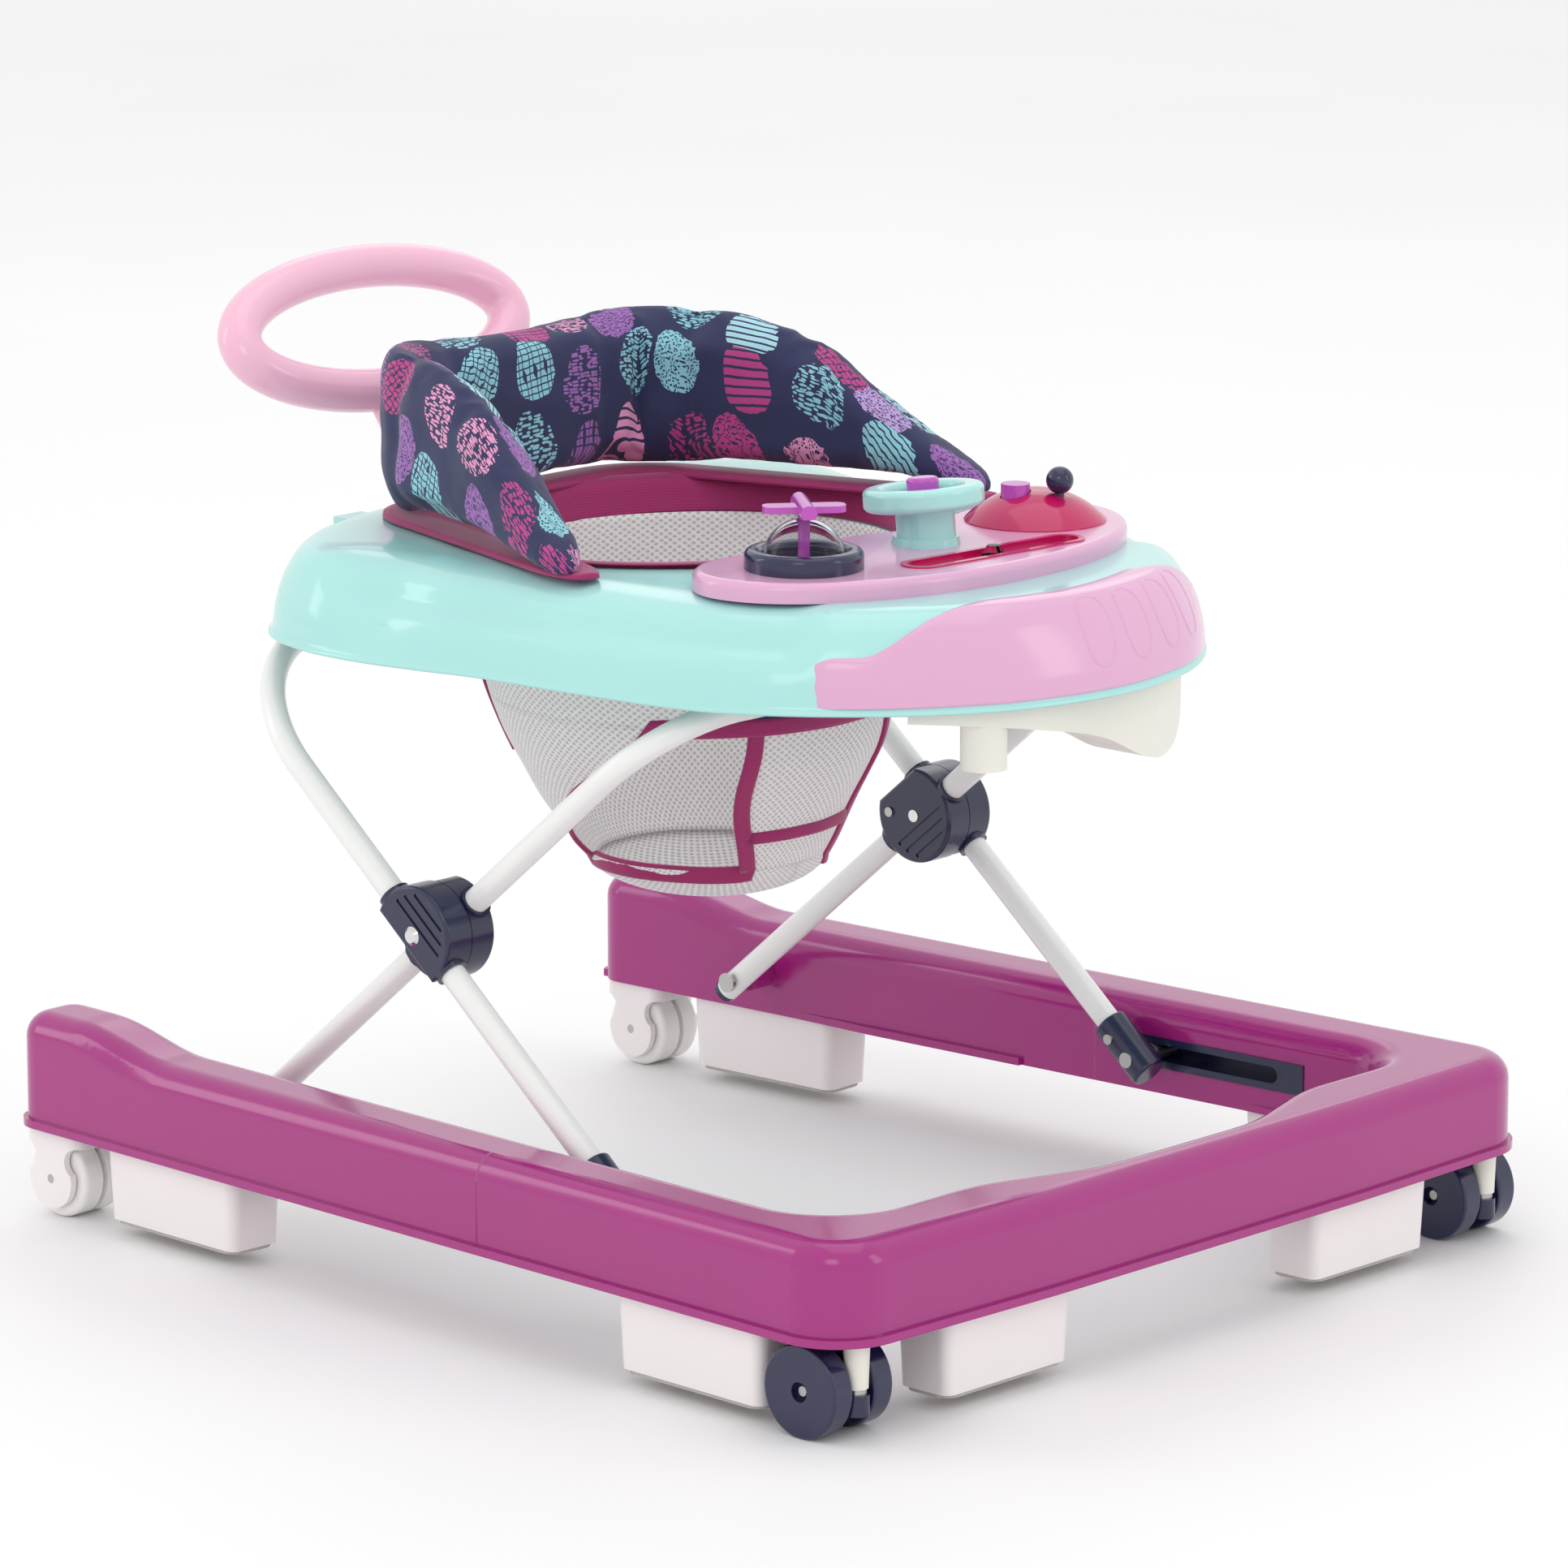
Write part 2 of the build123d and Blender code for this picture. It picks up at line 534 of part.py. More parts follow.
def loop_wire(half, inset, z):
    """The smooth closed outline, moved inwards by inset, at height z."""
    points = closed_points(half)
    count = len(points)
    moved = []
    for i, (x, y) in enumerate(points):
        ahead, behind = points[(i + 1) % count], points[i - 1]
        tangent = Vector(ahead[0] - behind[0], ahead[1] - behind[1]).normalized()
        moved.append((x + inset * tangent.Y, y - inset * tangent.X, z) if inset else (x, y, z))
    return Wire([Spline(*moved, periodic=True)])


def loop_prism(half, inset, z_from, z_to):
    face = Face(loop_wire(half, inset, z_from))
    return extrude(face, amount=z_to - z_from, dir=(0, 0, 1))


def tray_body(inset, drop, start=0.0):
    """The tray's outer form: outlines that close in towards the top."""
    wires = [loop_wire(TRAY_HALF, inset + step, TRAY_BOTTOM + rise - (drop if rise else -start))
             for rise, step in TRAY_STEPS]
    return Solid.make_loft(wires, ruled=False)


def seat_hole(grow, z_from, z_to):
    rear, front = SEAT_HOLE_X
    oval = Ellipse((front - rear) / 2 + grow, SEAT_HOLE_HALF_WIDTH + grow)
    return Pos((front + rear) / 2, 0, z_from) * extrude(oval, amount=z_to - z_from)


def bumper_region():
    """The side view of the front bumper: low at its ends and high at the front."""
    top = TRAY_TOP + 4
    low, high = TRAY_BOTTOM + 3, TRAY_BOTTOM + 37
    rear = BUMPER_REAR_X
    outline = [(rear, low), (rear, high - 2), (rear + 8, high), (rear + 30, high + 3), (rear + 46, high + 12),
               (rear + 62, top), (340, top), (340, low)]
    return side_prism(outline, 260)


def tray_pieces():
    """The tray shell, and the bumper that lies in its front."""
    skin = tray_body(0, 0)
    bumper = (skin - tray_body(BUMPER_THICKNESS, BUMPER_THICKNESS)) & bumper_region()
    bumper -= loop_prism(TRAY_HALF, BUMPER_THICKNESS + 26, TRAY_BOTTOM, TRAY_TOP + 5)
    shell = skin - tray_body(TRAY_WALL, TRAY_WALL, -2)
    lip = loop_prism(TRAY_HALF, -TRAY_LIP, TRAY_BOTTOM - 2, TRAY_BOTTOM + 3)
    shell += lip - loop_prism(TRAY_HALF, TRAY_WALL, TRAY_BOTTOM - 4, TRAY_BOTTOM + 10)
    shell -= seat_hole(0, TRAY_BOTTOM - 20, TRAY_TOP + 20)
    shell += seat_hole(SEAT_HOLE_WALL, TRAY_BOTTOM + 20, TRAY_TOP - 1) - seat_hole(0, TRAY_BOTTOM, TRAY_TOP + 9)
    return shell - bumper, bumper


def crossbar_clip():
    """A hook under the tray that the outer tube's crossbar turns in."""
    top = TRAY_TOP - TRAY_WALL
    clip = block((REAR_BAR_X - 13, REAR_BAR_X + 13), (98, 122), (BAR_Z, top))
    clip += rod_y(13, REAR_BAR_X, BAR_Z, 98, 122)
    return clip - rod_y(TUBE_RADIUS + RUNNING_FIT, REAR_BAR_X, BAR_Z, 80, 140)


def height_rack():
    """A toothed rib under the tray that the inner tube's crossbar rests against at three heights."""
    top = TRAY_TOP - TRAY_WALL
    teeth_z = BAR_Z + TUBE_RADIUS + GAP
    rack = block((FRONT_BAR_X - 16, FRONT_BAR_X + 100), (112, 124), (teeth_z, top))
    for step in (0, 32, 64):
        rack -= rod_y(TUBE_RADIUS + 3, FRONT_BAR_X + step, BAR_Z, 100, 140)
    return rack


def battery_box():
    """The cream battery box under the front of the tray, with a fixing post beside it."""
    belly = Spline((0, -146, 379), (0, -80, 373), (0, -30, 364), (0, 12, 352), (0, 42, 338), (0, 62, 335),
                   (0, 84, 343), (0, 93, 360))
    rest = Polyline((0, 93, 360), (0, 95, 400), (0, -146, 400), (0, -146, 379))
    body = Pos(241, 0, 0) * extrude(make_face(Curve([belly, rest])), amount=40, dir=(1, 0, 0))
    body &= loop_prism(TRAY_HALF, TRAY_WALL + 6, 300, 420)
    return body + rod_z(14, 257, -78, 346, 385)


# ---------------------------------------------------------------- toys

def toy_panel():
    panel = loop_prism(PANEL_HALF, 0, TRAY_TOP, PANEL_TOP)
    top_edges = panel.edges().filter_by(lambda e: e.center().Z > PANEL_TOP - 0.1)
    panel = fillet(top_edges, radius=5)
    return panel - slot_insert_solid(4.2)


def slot_insert_solid(depth):
    """An elongated tray across the front of the panel."""
    face = Pos(190, 6) * Rot(Z=86) * SlotCenterToCenter(120, 26)
    return Pos(0, 0, PANEL_TOP - depth) * extrude(face, amount=depth + 1)


def slot_insert():
    body = slot_insert_solid(4.2)
    well = Pos(190, 6) * Rot(Z=86) * SlotCenterToCenter(120, 18)
    return body - Pos(0, 0, PANEL_TOP - 2.6) * extrude(well, amount=8)


def gem():
    """A clear faceted lens in the slot."""
    hexagon = RegularPolygon(8, 6)
    return Pos(190, 6, PANEL_TOP - 2.6) * extrude(hexagon, amount=7, taper=25)


def ring(x, y):
    """The navy bezel round the clear dome."""
    bezel = Pos(x, y, 0) * (rod_z(36, 0, 0, PANEL_TOP, PANEL_TOP + 12) - rod_z(25, 0, 0, PANEL_TOP - 1, PANEL_TOP + 14))
    return fillet(bezel.edges().filter_by(lambda e: e.center().Z > PANEL_TOP + 11), radius=4.5)


def clear_dome(x, y):
    """A clear hemisphere over the spinner's post, open for the post at the top."""
    base = PANEL_TOP
    dome = Sphere(25) - Sphere(23.4)
    dome &= block((-30, 30), (-30, 30), (0, 30))
    dome = Pos(x, y, base + 5) * dome
    return dome - rod_z(4, x, y, base + 10, base + 40)


def spinner_post(x, y):
    return rod_z(3.6, x, y, PANEL_TOP + GAP, PANEL_TOP + 33) + rod_z(9, x, y, PANEL_TOP + GAP, PANEL_TOP + 3)


def spinner_plane(x, y):
    """A small aeroplane shape that turns on the post."""
    z = PANEL_TOP + 33
    wings = Pos(0, 0, 3) * Box(15, 50, 4)
    wings = fillet(wings.edges().filter_by(Axis.Z), radius=6)
    body = Pos(0, 0, 3.5) * Rot(Y=90) * Cylinder(5, 48)
    body &= block((-30, 30), (-6, 6), (0, 9))
    return Pos(x, y, z) * Rot(Z=-40) * (wings + body)


def steering_frame():
    """Local Z is the steering axis, leaning towards the child."""
    return Location((WHEEL_XY[0], WHEEL_XY[1], PANEL_TOP + 8), (0, -STEERING_TILT, 0))


def steering_column():
    column = rod_z(21, WHEEL_XY[0], WHEEL_XY[1], PANEL_TOP, PANEL_TOP + 5, top_radius=20)
    upper = steering_frame() * rod_z(18, 0, 0, -6, 13)
    return column + (upper & block((0, 300), (-60, 60), (PANEL_TOP, 600)))


def steering_wheel():
    z = 13 + GAP
    rim = rod_z(STEERING_RADIUS, 0, 0, z, z + 14) - rod_z(STEERING_RADIUS - 13, 0, 0, z - 1, z + 15)
    rim = fillet(rim.edges().filter_by(GeomType.CIRCLE), radius=4)
    hub = rod_z(14, 0, 0, z, z + 10)
    spokes = block((-5, 5), (-28, 28), (z + 2, z + 9)) + block((-28, 0), (-5, 5), (z + 2, z + 9))
    wheel = rim + hub + spokes
    return steering_frame() * (wheel - rod_z(10.5, 0, 0, z + 3, z + 20))


def horn_button():
    z = 13 + GAP
    button = rod_z(10, 0, 0, z + 6, z + 19)
    return steering_frame() * fillet(button.edges().filter_by(lambda e: e.center().Z > z + 18), radius=3)


def light_dome():
    """The crimson sound and light dome."""
    x, y = DOME_XY
    dome = Pos(x, y, PANEL_TOP - 40) * Sphere(60)
    dome &= rod_z(44, x, y, PANEL_TOP, PANEL_TOP + 30)
    dome -= rod_z(9.6, x - 4, y - 14, PANEL_TOP + 10, PANEL_TOP + 40)
    return dome - rod_z(3, x + 18, y + 2, PANEL_TOP + 12, PANEL_TOP + 40)


def dome_button():
    x, y = DOME_XY
    return rod_z(9, x - 4, y - 14, PANEL_TOP + 13, PANEL_TOP + 24)


def dome_knob():
    x, y = DOME_XY[0] + 18, DOME_XY[1] + 2
    return Pos(x, y, PANEL_TOP + 26.5) * Sphere(8.5) + rod_z(3, x, y, PANEL_TOP + 12, PANEL_TOP + 26)


# ---------------------------------------------------------------- handle and seat

def handle_frame():
    """Local X across the walker, local Y up the ring, local Z out of the ring's front."""
    tilt = math.radians(HANDLE_TILT)
    up = Vector(-math.sin(tilt), 0, math.cos(tilt))
    return Plane(origin=HANDLE_CENTRE, x_dir=(0, 1, 0), z_dir=Vector(0, 1, 0).cross(up))


def handle_ring():
    """The oval grip, swept along the four quarters of an ellipse."""
    frame = handle_frame()
    quarters = []
    for start in (0, 90, 180, 270):
        arc = frame * EllipticalCenterArc((0, 0), HANDLE_HALF_WIDTH, HANDLE_HALF_HEIGHT, start, arc_size=90)
        quarters.append(sweep(Plane(origin=arc @ 0, z_dir=arc % 0) * Circle(GRIP_RADIUS), path=arc))
    return quarters[0] + quarters[1:]


def handle_halves(tray_skin):
    frame = handle_frame()
    neck = Pos(0, -HANDLE_HALF_HEIGHT - 50, 0) * Box(NECK_WIDTH, 100, NECK_THICKNESS)
    neck = frame.location * fillet(neck.edges().filter_by(Axis.Y), radius=9)
    whole = handle_ring() + neck - tray_skin
    whole = whole.solids().sort_by(SortBy.VOLUME)[-1]
    return (split(whole, bisect_by=frame, keep=Keep.TOP), split(whole, bisect_by=frame, keep=Keep.BOTTOM))


def arm_y(x):
    slope = (PAD_FRONT_Y - PAD_CORNER_Y) / (PAD_FRONT_X - PAD_REAR_X)
    return PAD_CORNER_Y + slope * (x - PAD_REAR_X)


def pad_outline(offset_by, radius, front_x):
    """The seat pad's plan: a back panel with two arms that spread towards the front."""
    spread = offset_by * 1.05
    rear = PAD_REAR_X - offset_by
    points = [(front_x, arm_y(front_x) + spread), (rear, arm_y(rear) + spread)]
    loop = points + [(x, -y) for x, y in reversed(points)]
    return make_face(FilletPolyline(*loop, radius=[0, radius, radius, 0], close=True))


def seat_pad():
    """The padded back and arms, as a plain closed solid."""
    ring_face = pad_outline(PAD_HALF_THICKNESS, 66, PAD_FRONT_X) - pad_outline(-PAD_HALF_THICKNESS, 40, PAD_FRONT_X + 9)
    height = PAD_TOP - TRAY_TOP
    body = Pos(0, 0, TRAY_TOP) * extrude(ring_face, amount=height)
    top = [(-300, TRAY_TOP - 1), (-300, PAD_TOP), (-130, PAD_TOP), (-86, PAD_TOP - 14), (PAD_FRONT_X - 5, TRAY_TOP + 22),
           (PAD_FRONT_X + 10, TRAY_TOP + 8), (PAD_FRONT_X + 10, TRAY_TOP - 1)]
    return body & side_prism(top, 260)


def sling_body(inset):
    wires = []
    for i, (z, centre, half_x, half_y) in enumerate(SLING_STEPS):
        rise = inset if i == len(SLING_STEPS) - 1 else 0
        oval = Pos(centre, 0, z + rise) * Ellipse(half_x - inset, half_y - inset)
        wires.append(oval.face().outer_wire())
    return Solid.make_loft(wires, ruled=False)


def leg_hole(side):
    """A cutter with a rounded outline, pointing outwards and a little forwards."""
    turn = math.radians(LEG_HOLE_TURN)
    outward = Vector(math.cos(turn), side * math.sin(turn), 0)
    along = Vector(math.sin(turn), -side * math.cos(turn), 0)
    origin = Vector(-50, 0, 0) + outward * 25
    corners = [origin + along * t + Vector(0, 0, z) for t, z in LEG_HOLE]
    outline = FilletPolyline(*corners, radius=14, close=True)
    return extrude(make_face(outline), amount=200, dir=outward)


def seat_sling():
    """The bag under the seat hole, with two leg holes."""
    z_top = SLING_STEPS[0][0]
    bag = sling_body(0) - sling_body(SLING_WALL)
    bag -= block((-300, 300), (-300, 300), (z_top - 0.5, z_top + 50))
    for side in (-1, 1):
        bag -= leg_hole(side)
    return bag.solids().sort_by(SortBy.VOLUME)[-1]


# ---------------------------------------------------------------- write every piece

def write_base():
    save("base_shell", base_shell())
    save("slider_tracks", slider_track(), mirrored(slider_track()))
    bracket = pivot_bracket()
    save("pivot_brackets", bracket, mirrored(bracket))
    save("pivot_pins", pivot_pin(), mirrored(pivot_pin()))
    soles = []
    for name, (x, y, turn, length) in pad_places().items():
        place = Pos(x, y, 0) * Rot(Z=turn)
        pad = place * floor_pad(length)
        sole = place * pad_sole(length)
        save(f"{name}_pad_left", pad)
        save(f"{name}_pad_right", mirrored(pad))
        soles += [sole, mirrored(sole)]
    save("pad_soles", *soles)
    screws = [pad_screw(x, y) for x, y in pad_screw_spots()]
    save("pad_screws", *screws, *[mirrored(screw) for screw in screws])
    housing, axle = wheel_housing(), rear_axle()
    save("rear_housing_left", housing)
    save("rear_housing_right", mirrored(housing))
    save("rear_axles", axle, mirrored(axle))
    save("caster_stems", caster_stem(), mirrored(caster_stem()))


def write_wheels():
    wheel, fork, pin, axle, discs = rear_wheel(), caster_fork(), kingpin(), caster_axle(), caster_wheels()
    save("rear_wheel_left", wheel)
    save("rear_wheel_right", mirrored(wheel))
    save("caster_fork_left", fork)
    save("caster_fork_right", mirrored(fork))
    save("kingpin_left", pin)
    save("kingpin_right", mirrored(pin))
    save("caster_wheels_left", *discs)
    save("caster_wheels_right", *[mirrored(disc) for disc in discs])
    save("caster_axle_left", axle)
    save("caster_axle_right", mirrored(axle))


def write_frames():
    inner_bores = [(0, PIN_RADIUS + RUNNING_FIT), (LOWER_ARM, PIN_RADIUS + RUNNING_FIT)]
    outer_bores = [(LOWER_ARM, PIN_RADIUS)]
    save("front_frame_tube", u_tube(PIVOT_X, 1, INNER_LEG_Y, INNER_BEND, -12, inner_bores))
    save("foot_plugs", foot_plug(INNER_LEG_Y), foot_plug(-INNER_LEG_Y))
    save("inner_joint_left", inner_joint())
    save("inner_joint_right", mirrored(inner_joint()))
    save("joint_screws", joint_screw(), mirrored(joint_screw()))
    save("rear_frame_tube", u_tube(SLIDER_X, -1, OUTER_LEG_Y, OUTER_BEND, 10, outer_bores))
    save("outer_joint_left", outer_joint())
    save("outer_joint_right", mirrored(outer_joint()))
    save("joint_rivets", joint_rivet(), mirrored(joint_rivet()))
    save("end_caps", end_cap(), mirrored(end_cap()))
    save("slider_pins", slider_pin(), mirrored(slider_pin()))
    save("cap_screws", cap_screw(), mirrored(cap_screw()))


def write_tray():
    shell, bumper = tray_pieces()
    save("tray_shell", shell)
    save("front_bumper", bumper)
    clip, rack = crossbar_clip(), height_rack()
    save("crossbar_clips", clip, mirrored(clip))
    save("height_racks", rack, mirrored(rack))
    save("battery_box", battery_box())
    front, rear = handle_halves(tray_body(0, 0))
    save("handle_front", front)
    save("handle_rear", rear)
    save("seat_pad", seat_pad())
    save("seat_sling", seat_sling())


def write_toys():
    save("toy_panel", toy_panel())
    save("slot_insert", slot_insert())
    save("gem_lens", gem())
    save("dome_ring", ring(*SPINNER_XY))
    save("clear_dome", clear_dome(*SPINNER_XY))
    save("spinner_post", spinner_post(*SPINNER_XY))
    save("spinner_plane", spinner_plane(*SPINNER_XY))
    save("steering_column", steering_column())
    save("steering_wheel", steering_wheel())
    save("horn_button", horn_button())
    save("light_dome", light_dome())
    save("dome_button", dome_button())
    save("dome_knob", dome_knob())


os.makedirs("parts", exist_ok=True)
write_base()
write_wheels()
write_frames()
write_tray()
write_toys()
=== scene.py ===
"""Studio scene of the folding baby walker, in metres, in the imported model's frame.

+X points forward, +Y to the child's left and +Z up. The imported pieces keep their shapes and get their
finishes here. The printed seat pad with its cloth edge, the mesh sling with its bindings and collar, the
tray's skin and the bumper with its marks are modelled here.
"""
import bpy
import json
import math
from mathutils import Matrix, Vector, noise


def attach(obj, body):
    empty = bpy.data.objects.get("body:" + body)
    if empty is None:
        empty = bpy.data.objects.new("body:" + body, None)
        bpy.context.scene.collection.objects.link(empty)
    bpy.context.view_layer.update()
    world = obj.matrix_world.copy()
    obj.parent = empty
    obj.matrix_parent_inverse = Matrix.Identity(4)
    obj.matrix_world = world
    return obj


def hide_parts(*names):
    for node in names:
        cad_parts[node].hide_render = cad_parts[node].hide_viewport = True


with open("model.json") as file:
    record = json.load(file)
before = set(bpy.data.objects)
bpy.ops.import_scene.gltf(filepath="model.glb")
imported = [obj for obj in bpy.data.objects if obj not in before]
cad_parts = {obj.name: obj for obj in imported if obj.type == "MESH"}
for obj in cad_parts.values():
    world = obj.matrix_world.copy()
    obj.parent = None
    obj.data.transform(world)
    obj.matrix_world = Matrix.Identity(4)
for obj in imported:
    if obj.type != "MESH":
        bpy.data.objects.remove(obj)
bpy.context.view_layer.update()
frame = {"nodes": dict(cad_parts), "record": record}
MM = 0.001

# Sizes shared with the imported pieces, in millimetres
TRAY_HALF = [(-272, 0), (-264, 90), (-243, 165), (-205, 218), (-160, 239), (-111, 243), (-60, 236),
             (-16, 227),
             (60, 221), (137, 211), (180, 193), (218, 165), (252, 130), (279, 88), (293, 44), (298, 0)]
SEAT_HOLE = (-58.5, 136.5, 158.0)
SLING_STEPS = [(424, -58, 130, 145), (400, -57, 129, 142), (376, -56, 128, 138), (343, -54, 125, 130),
               (314, -50, 117, 121), (273, -50, 97, 98), (245, -44, 81, 80), (226, -37, 63, 60),
               (213, -34, 40, 38)]
PAD_REAR_X, PAD_CORNER_Y = -212.0, 112.0
PAD_FRONT_X, PAD_FRONT_Y = 35.0, 188.0
PAD_TOP, PAD_BOTTOM = 559.0, 444.5
PAD_HALF_THICKNESS = 15.5
PAD_CORNER_RADIUS = 54.0
PAD_MESH_SIZE = 6.0
PAD_SWELL_LIMIT = 8.0
FILLING_PRESSURE = 4.0
PAD_SEAMS = [(212, 9, 5.0), (292, 5, 2.6)]
BUMPER_REAR_X = 205.0
BUMPER_MARKS = (-14, 24, 60, 92)


# ---------------------------------------------------------------- materials

def linear(hex_text, alpha=1.0):
    """An sRGB hex colour as linear RGBA."""
    channels = [int(hex_text[i:i + 2], 16) / 255 for i in (0, 2, 4)]
    return [c / 12.92 if c <= 0.04045 else ((c + 0.055) / 1.055) ** 2.4 for c in channels] + [alpha]


def add(tree, kind, settings=None, links=None):
    """Adds a node with its settings and links; a key that names a socket sets the socket."""
    made = tree.nodes.new("ShaderNode" + kind)
    for key, value in (settings or {}).items():
        if isinstance(key, int) or key in made.inputs:
            made.inputs[key].default_value = value
        else:
            setattr(made, key, value)
    for key, source in (links or {}).items():
        tree.links.new(source, made.inputs[key])
    return made


def new_material(name):
    material = bpy.data.materials.new(name)
    material.use_nodes = True
    return material, material.node_tree, material.node_tree.nodes["Principled BSDF"]


def shade_variation(tree, shader, colour, drift, spread, scale):
    """Base colour that drifts a little over the piece, and the noise that drives it."""
    place = add(tree, "TexCoord")
    cloud = add(tree, "TexNoise", {"Scale": scale, "Detail": 3.0}, {"Vector": place.outputs["Object"]})
    level = add(tree, "MapRange", {"To Min": 1 - drift, "To Max": 1 + drift}, {"Value": cloud.outputs["Fac"]})
    tint = add(tree, "HueSaturation", {"Color": colour}, {"Value": level.outputs["Result"]})
    tree.links.new(tint.outputs["Color"], shader.inputs["Base Color"])
    gloss = add(tree, "MapRange", {"To Min": spread[0], "To Max": spread[1]}, {"Value": cloud.outputs["Fac"]})
    tree.links.new(gloss.outputs["Result"], shader.inputs["Roughness"])
    return place


def moulded_abs(name, colour, roughness=0.16, grain_mm=1.6, grain_depth=0.012, drift=0.03):
    """Injection-moulded ABS: polished, with the faint ripple that shrinkage leaves in a glossy face."""
    material, tree, shader = new_material(name)
    spread = (roughness * 0.75, roughness * 1.35)
    place = shade_variation(tree, shader, linear(colour), drift, spread, 14.0)
    grain = add(tree, "TexNoise", {"Scale": 1 / (grain_mm * MM), "Detail": 2.0},
                {"Vector": place.outputs["Object"]})
    ripple = add(tree, "TexNoise", {"Scale": 38.0, "Detail": 1.0}, {"Vector": place.outputs["Object"]})
    fine = add(tree, "Bump", {"Strength": 0.25, "Distance": grain_depth * MM},
               {"Height": grain.outputs["Fac"]})
    wave = add(tree, "Bump", {"Strength": 0.3, "Distance": 0.12 * MM},
               {"Height": ripple.outputs["Fac"], "Normal": fine.outputs["Normal"]})
    tree.links.new(wave.outputs["Normal"], shader.inputs["Normal"])
    shader.inputs["IOR"].default_value = 1.53
    shader.inputs["Coat Weight"].default_value = 0.25
    shader.inputs["Coat Roughness"].default_value = 0.06
    return material


PANEL_LINE_X = 60.0


def moulded_base(name, colour):
    """The base's glossy ABS, with the step of a raised panel across each rail."""
    material = moulded_abs(name, colour, 0.15)
    tree = material.node_tree
    shader = tree.nodes["Principled BSDF"]
    below = shader.inputs["Normal"].links[0].from_socket
    place = add(tree, "TexCoord")
    axes = add(tree, "SeparateXYZ", {}, {"Vector": place.outputs["Object"]})
    step = add(tree, "MapRange", {"From Min": (PANEL_LINE_X - 1) * MM, "From Max": (PANEL_LINE_X + 1) * MM},
               {"Value": axes.outputs["X"]})
    bump = add(tree, "Bump", {"Strength": 0.8, "Distance": 1.2 * MM},
               {"Height": step.outputs["Result"], "Normal": below})
    tree.links.new(bump.outputs["Normal"], shader.inputs["Normal"])
    return material


def moulded_polypropylene(name, colour, roughness=0.42):
    """Polypropylene from a spark-eroded mould: satin, with a fine even grain."""
    material, tree, shader = new_material(name)
    place = shade_variation(tree, shader, linear(colour), 0.025, (roughness - 0.06, roughness + 0.06), 20.0)
    grain = add(tree, "TexNoise", {"Scale": 1 / (0.9 * MM), "Detail": 3.0},
                {"Vector": place.outputs["Object"]})
    bump = add(tree, "Bump", {"Strength": 0.35, "Distance": 0.05 * MM}, {"Height": grain.outputs["Fac"]})
    tree.links.new(bump.outputs["Normal"], shader.inputs["Normal"])
    shader.inputs["IOR"].default_value = 1.49
    return material


def powder_coated_tube(name, colour):
    """Powder-coated steel tube: white, glossy, with a shallow orange-peel surface."""
    material, tree, shader = new_material(name)
    place = shade_variation(tree, shader, linear(colour), 0.015, (0.2, 0.3), 25.0)
    peel = add(tree, "TexNoise", {"Scale": 1 / (2.2 * MM), "Detail": 1.0},
               {"Vector": place.outputs["Object"]})
    bump = add(tree, "Bump", {"Strength": 0.3, "Distance": 0.08 * MM}, {"Height": peel.outputs["Fac"]})
    tree.links.new(bump.outputs["Normal"], shader.inputs["Normal"])
    shader.inputs["IOR"].default_value = 1.5
    shader.inputs["Coat Weight"].default_value = 0.3
    shader.inputs["Coat Roughness"].default_value = 0.1
    return material


def turned_steel(name, colour, roughness):
    """Turned steel: fine rings of tool marks that spread the highlight."""
    material, tree, shader = new_material(name)
    shader.inputs["Metallic"].default_value = 1.0
    place = shade_variation(tree, shader, linear(colour), 0.04, (roughness * 0.8, roughness * 1.3), 60.0)
    marks = add(tree, "TexWave", {"Scale": 1 / (3 * MM), "Distortion": 0.6, "wave_type": "RINGS"},
                {"Vector": place.outputs["Object"]})
    bump = add(tree, "Bump", {"Strength": 0.2, "Distance": 0.03 * MM}, {"Height": marks.outputs["Fac"]})
    tree.links.new(bump.outputs["Normal"], shader.inputs["Normal"])
    shader.inputs["Anisotropic"].default_value = 0.4
    return material


def moulded_rubber(name, colour):
    """Thermoplastic rubber: dull, with a coarse gripping grain."""
    material, tree, shader = new_material(name)
    place = shade_variation(tree, shader, linear(colour), 0.05, (0.7, 0.85), 30.0)
    grip = add(tree, "TexVoronoi", {"Scale": 1 / (2.5 * MM)}, {"Vector": place.outputs["Object"]})
    bump = add(tree, "Bump", {"Strength": 0.5, "Distance": 0.2 * MM}, {"Height": grip.outputs["Distance"]})
    tree.links.new(bump.outputs["Normal"], shader.inputs["Normal"])
    return material


def clear_polycarbonate(name):
    """Clear polycarbonate: almost colourless, polished, with faint moulding swirls."""
    material, tree, shader = new_material(name)
    shader.inputs["Base Color"].default_value = linear("F4F6F8")
    shader.inputs["Transmission Weight"].default_value = 1.0
    shader.inputs["IOR"].default_value = 1.2
    shader.inputs["Roughness"].default_value = 0.02
    place = add(tree, "TexCoord")
    swirl = add(tree, "TexNoise", {"Scale": 60.0, "Detail": 1.0}, {"Vector": place.outputs["Object"]})
    bump = add(tree, "Bump", {"Strength": 0.1, "Distance": 0.1 * MM}, {"Height": swirl.outputs["Fac"]})
    tree.links.new(bump.outputs["Normal"], shader.inputs["Normal"])
    return material


def math_node(tree, operation, first, second=None, third=None, clamp=False):
    """A maths step whose inputs are sockets or plain numbers."""
    settings, links = {"operation": operation, "use_clamp": clamp}, {}
    for index, value in enumerate((first, second, third)):
        if value is None:
            continue
        if isinstance(value, (int, float)):
            settings[index] = float(value)
        else:
            links[index] = value
    return add(tree, "Math", settings, links).outputs[0]


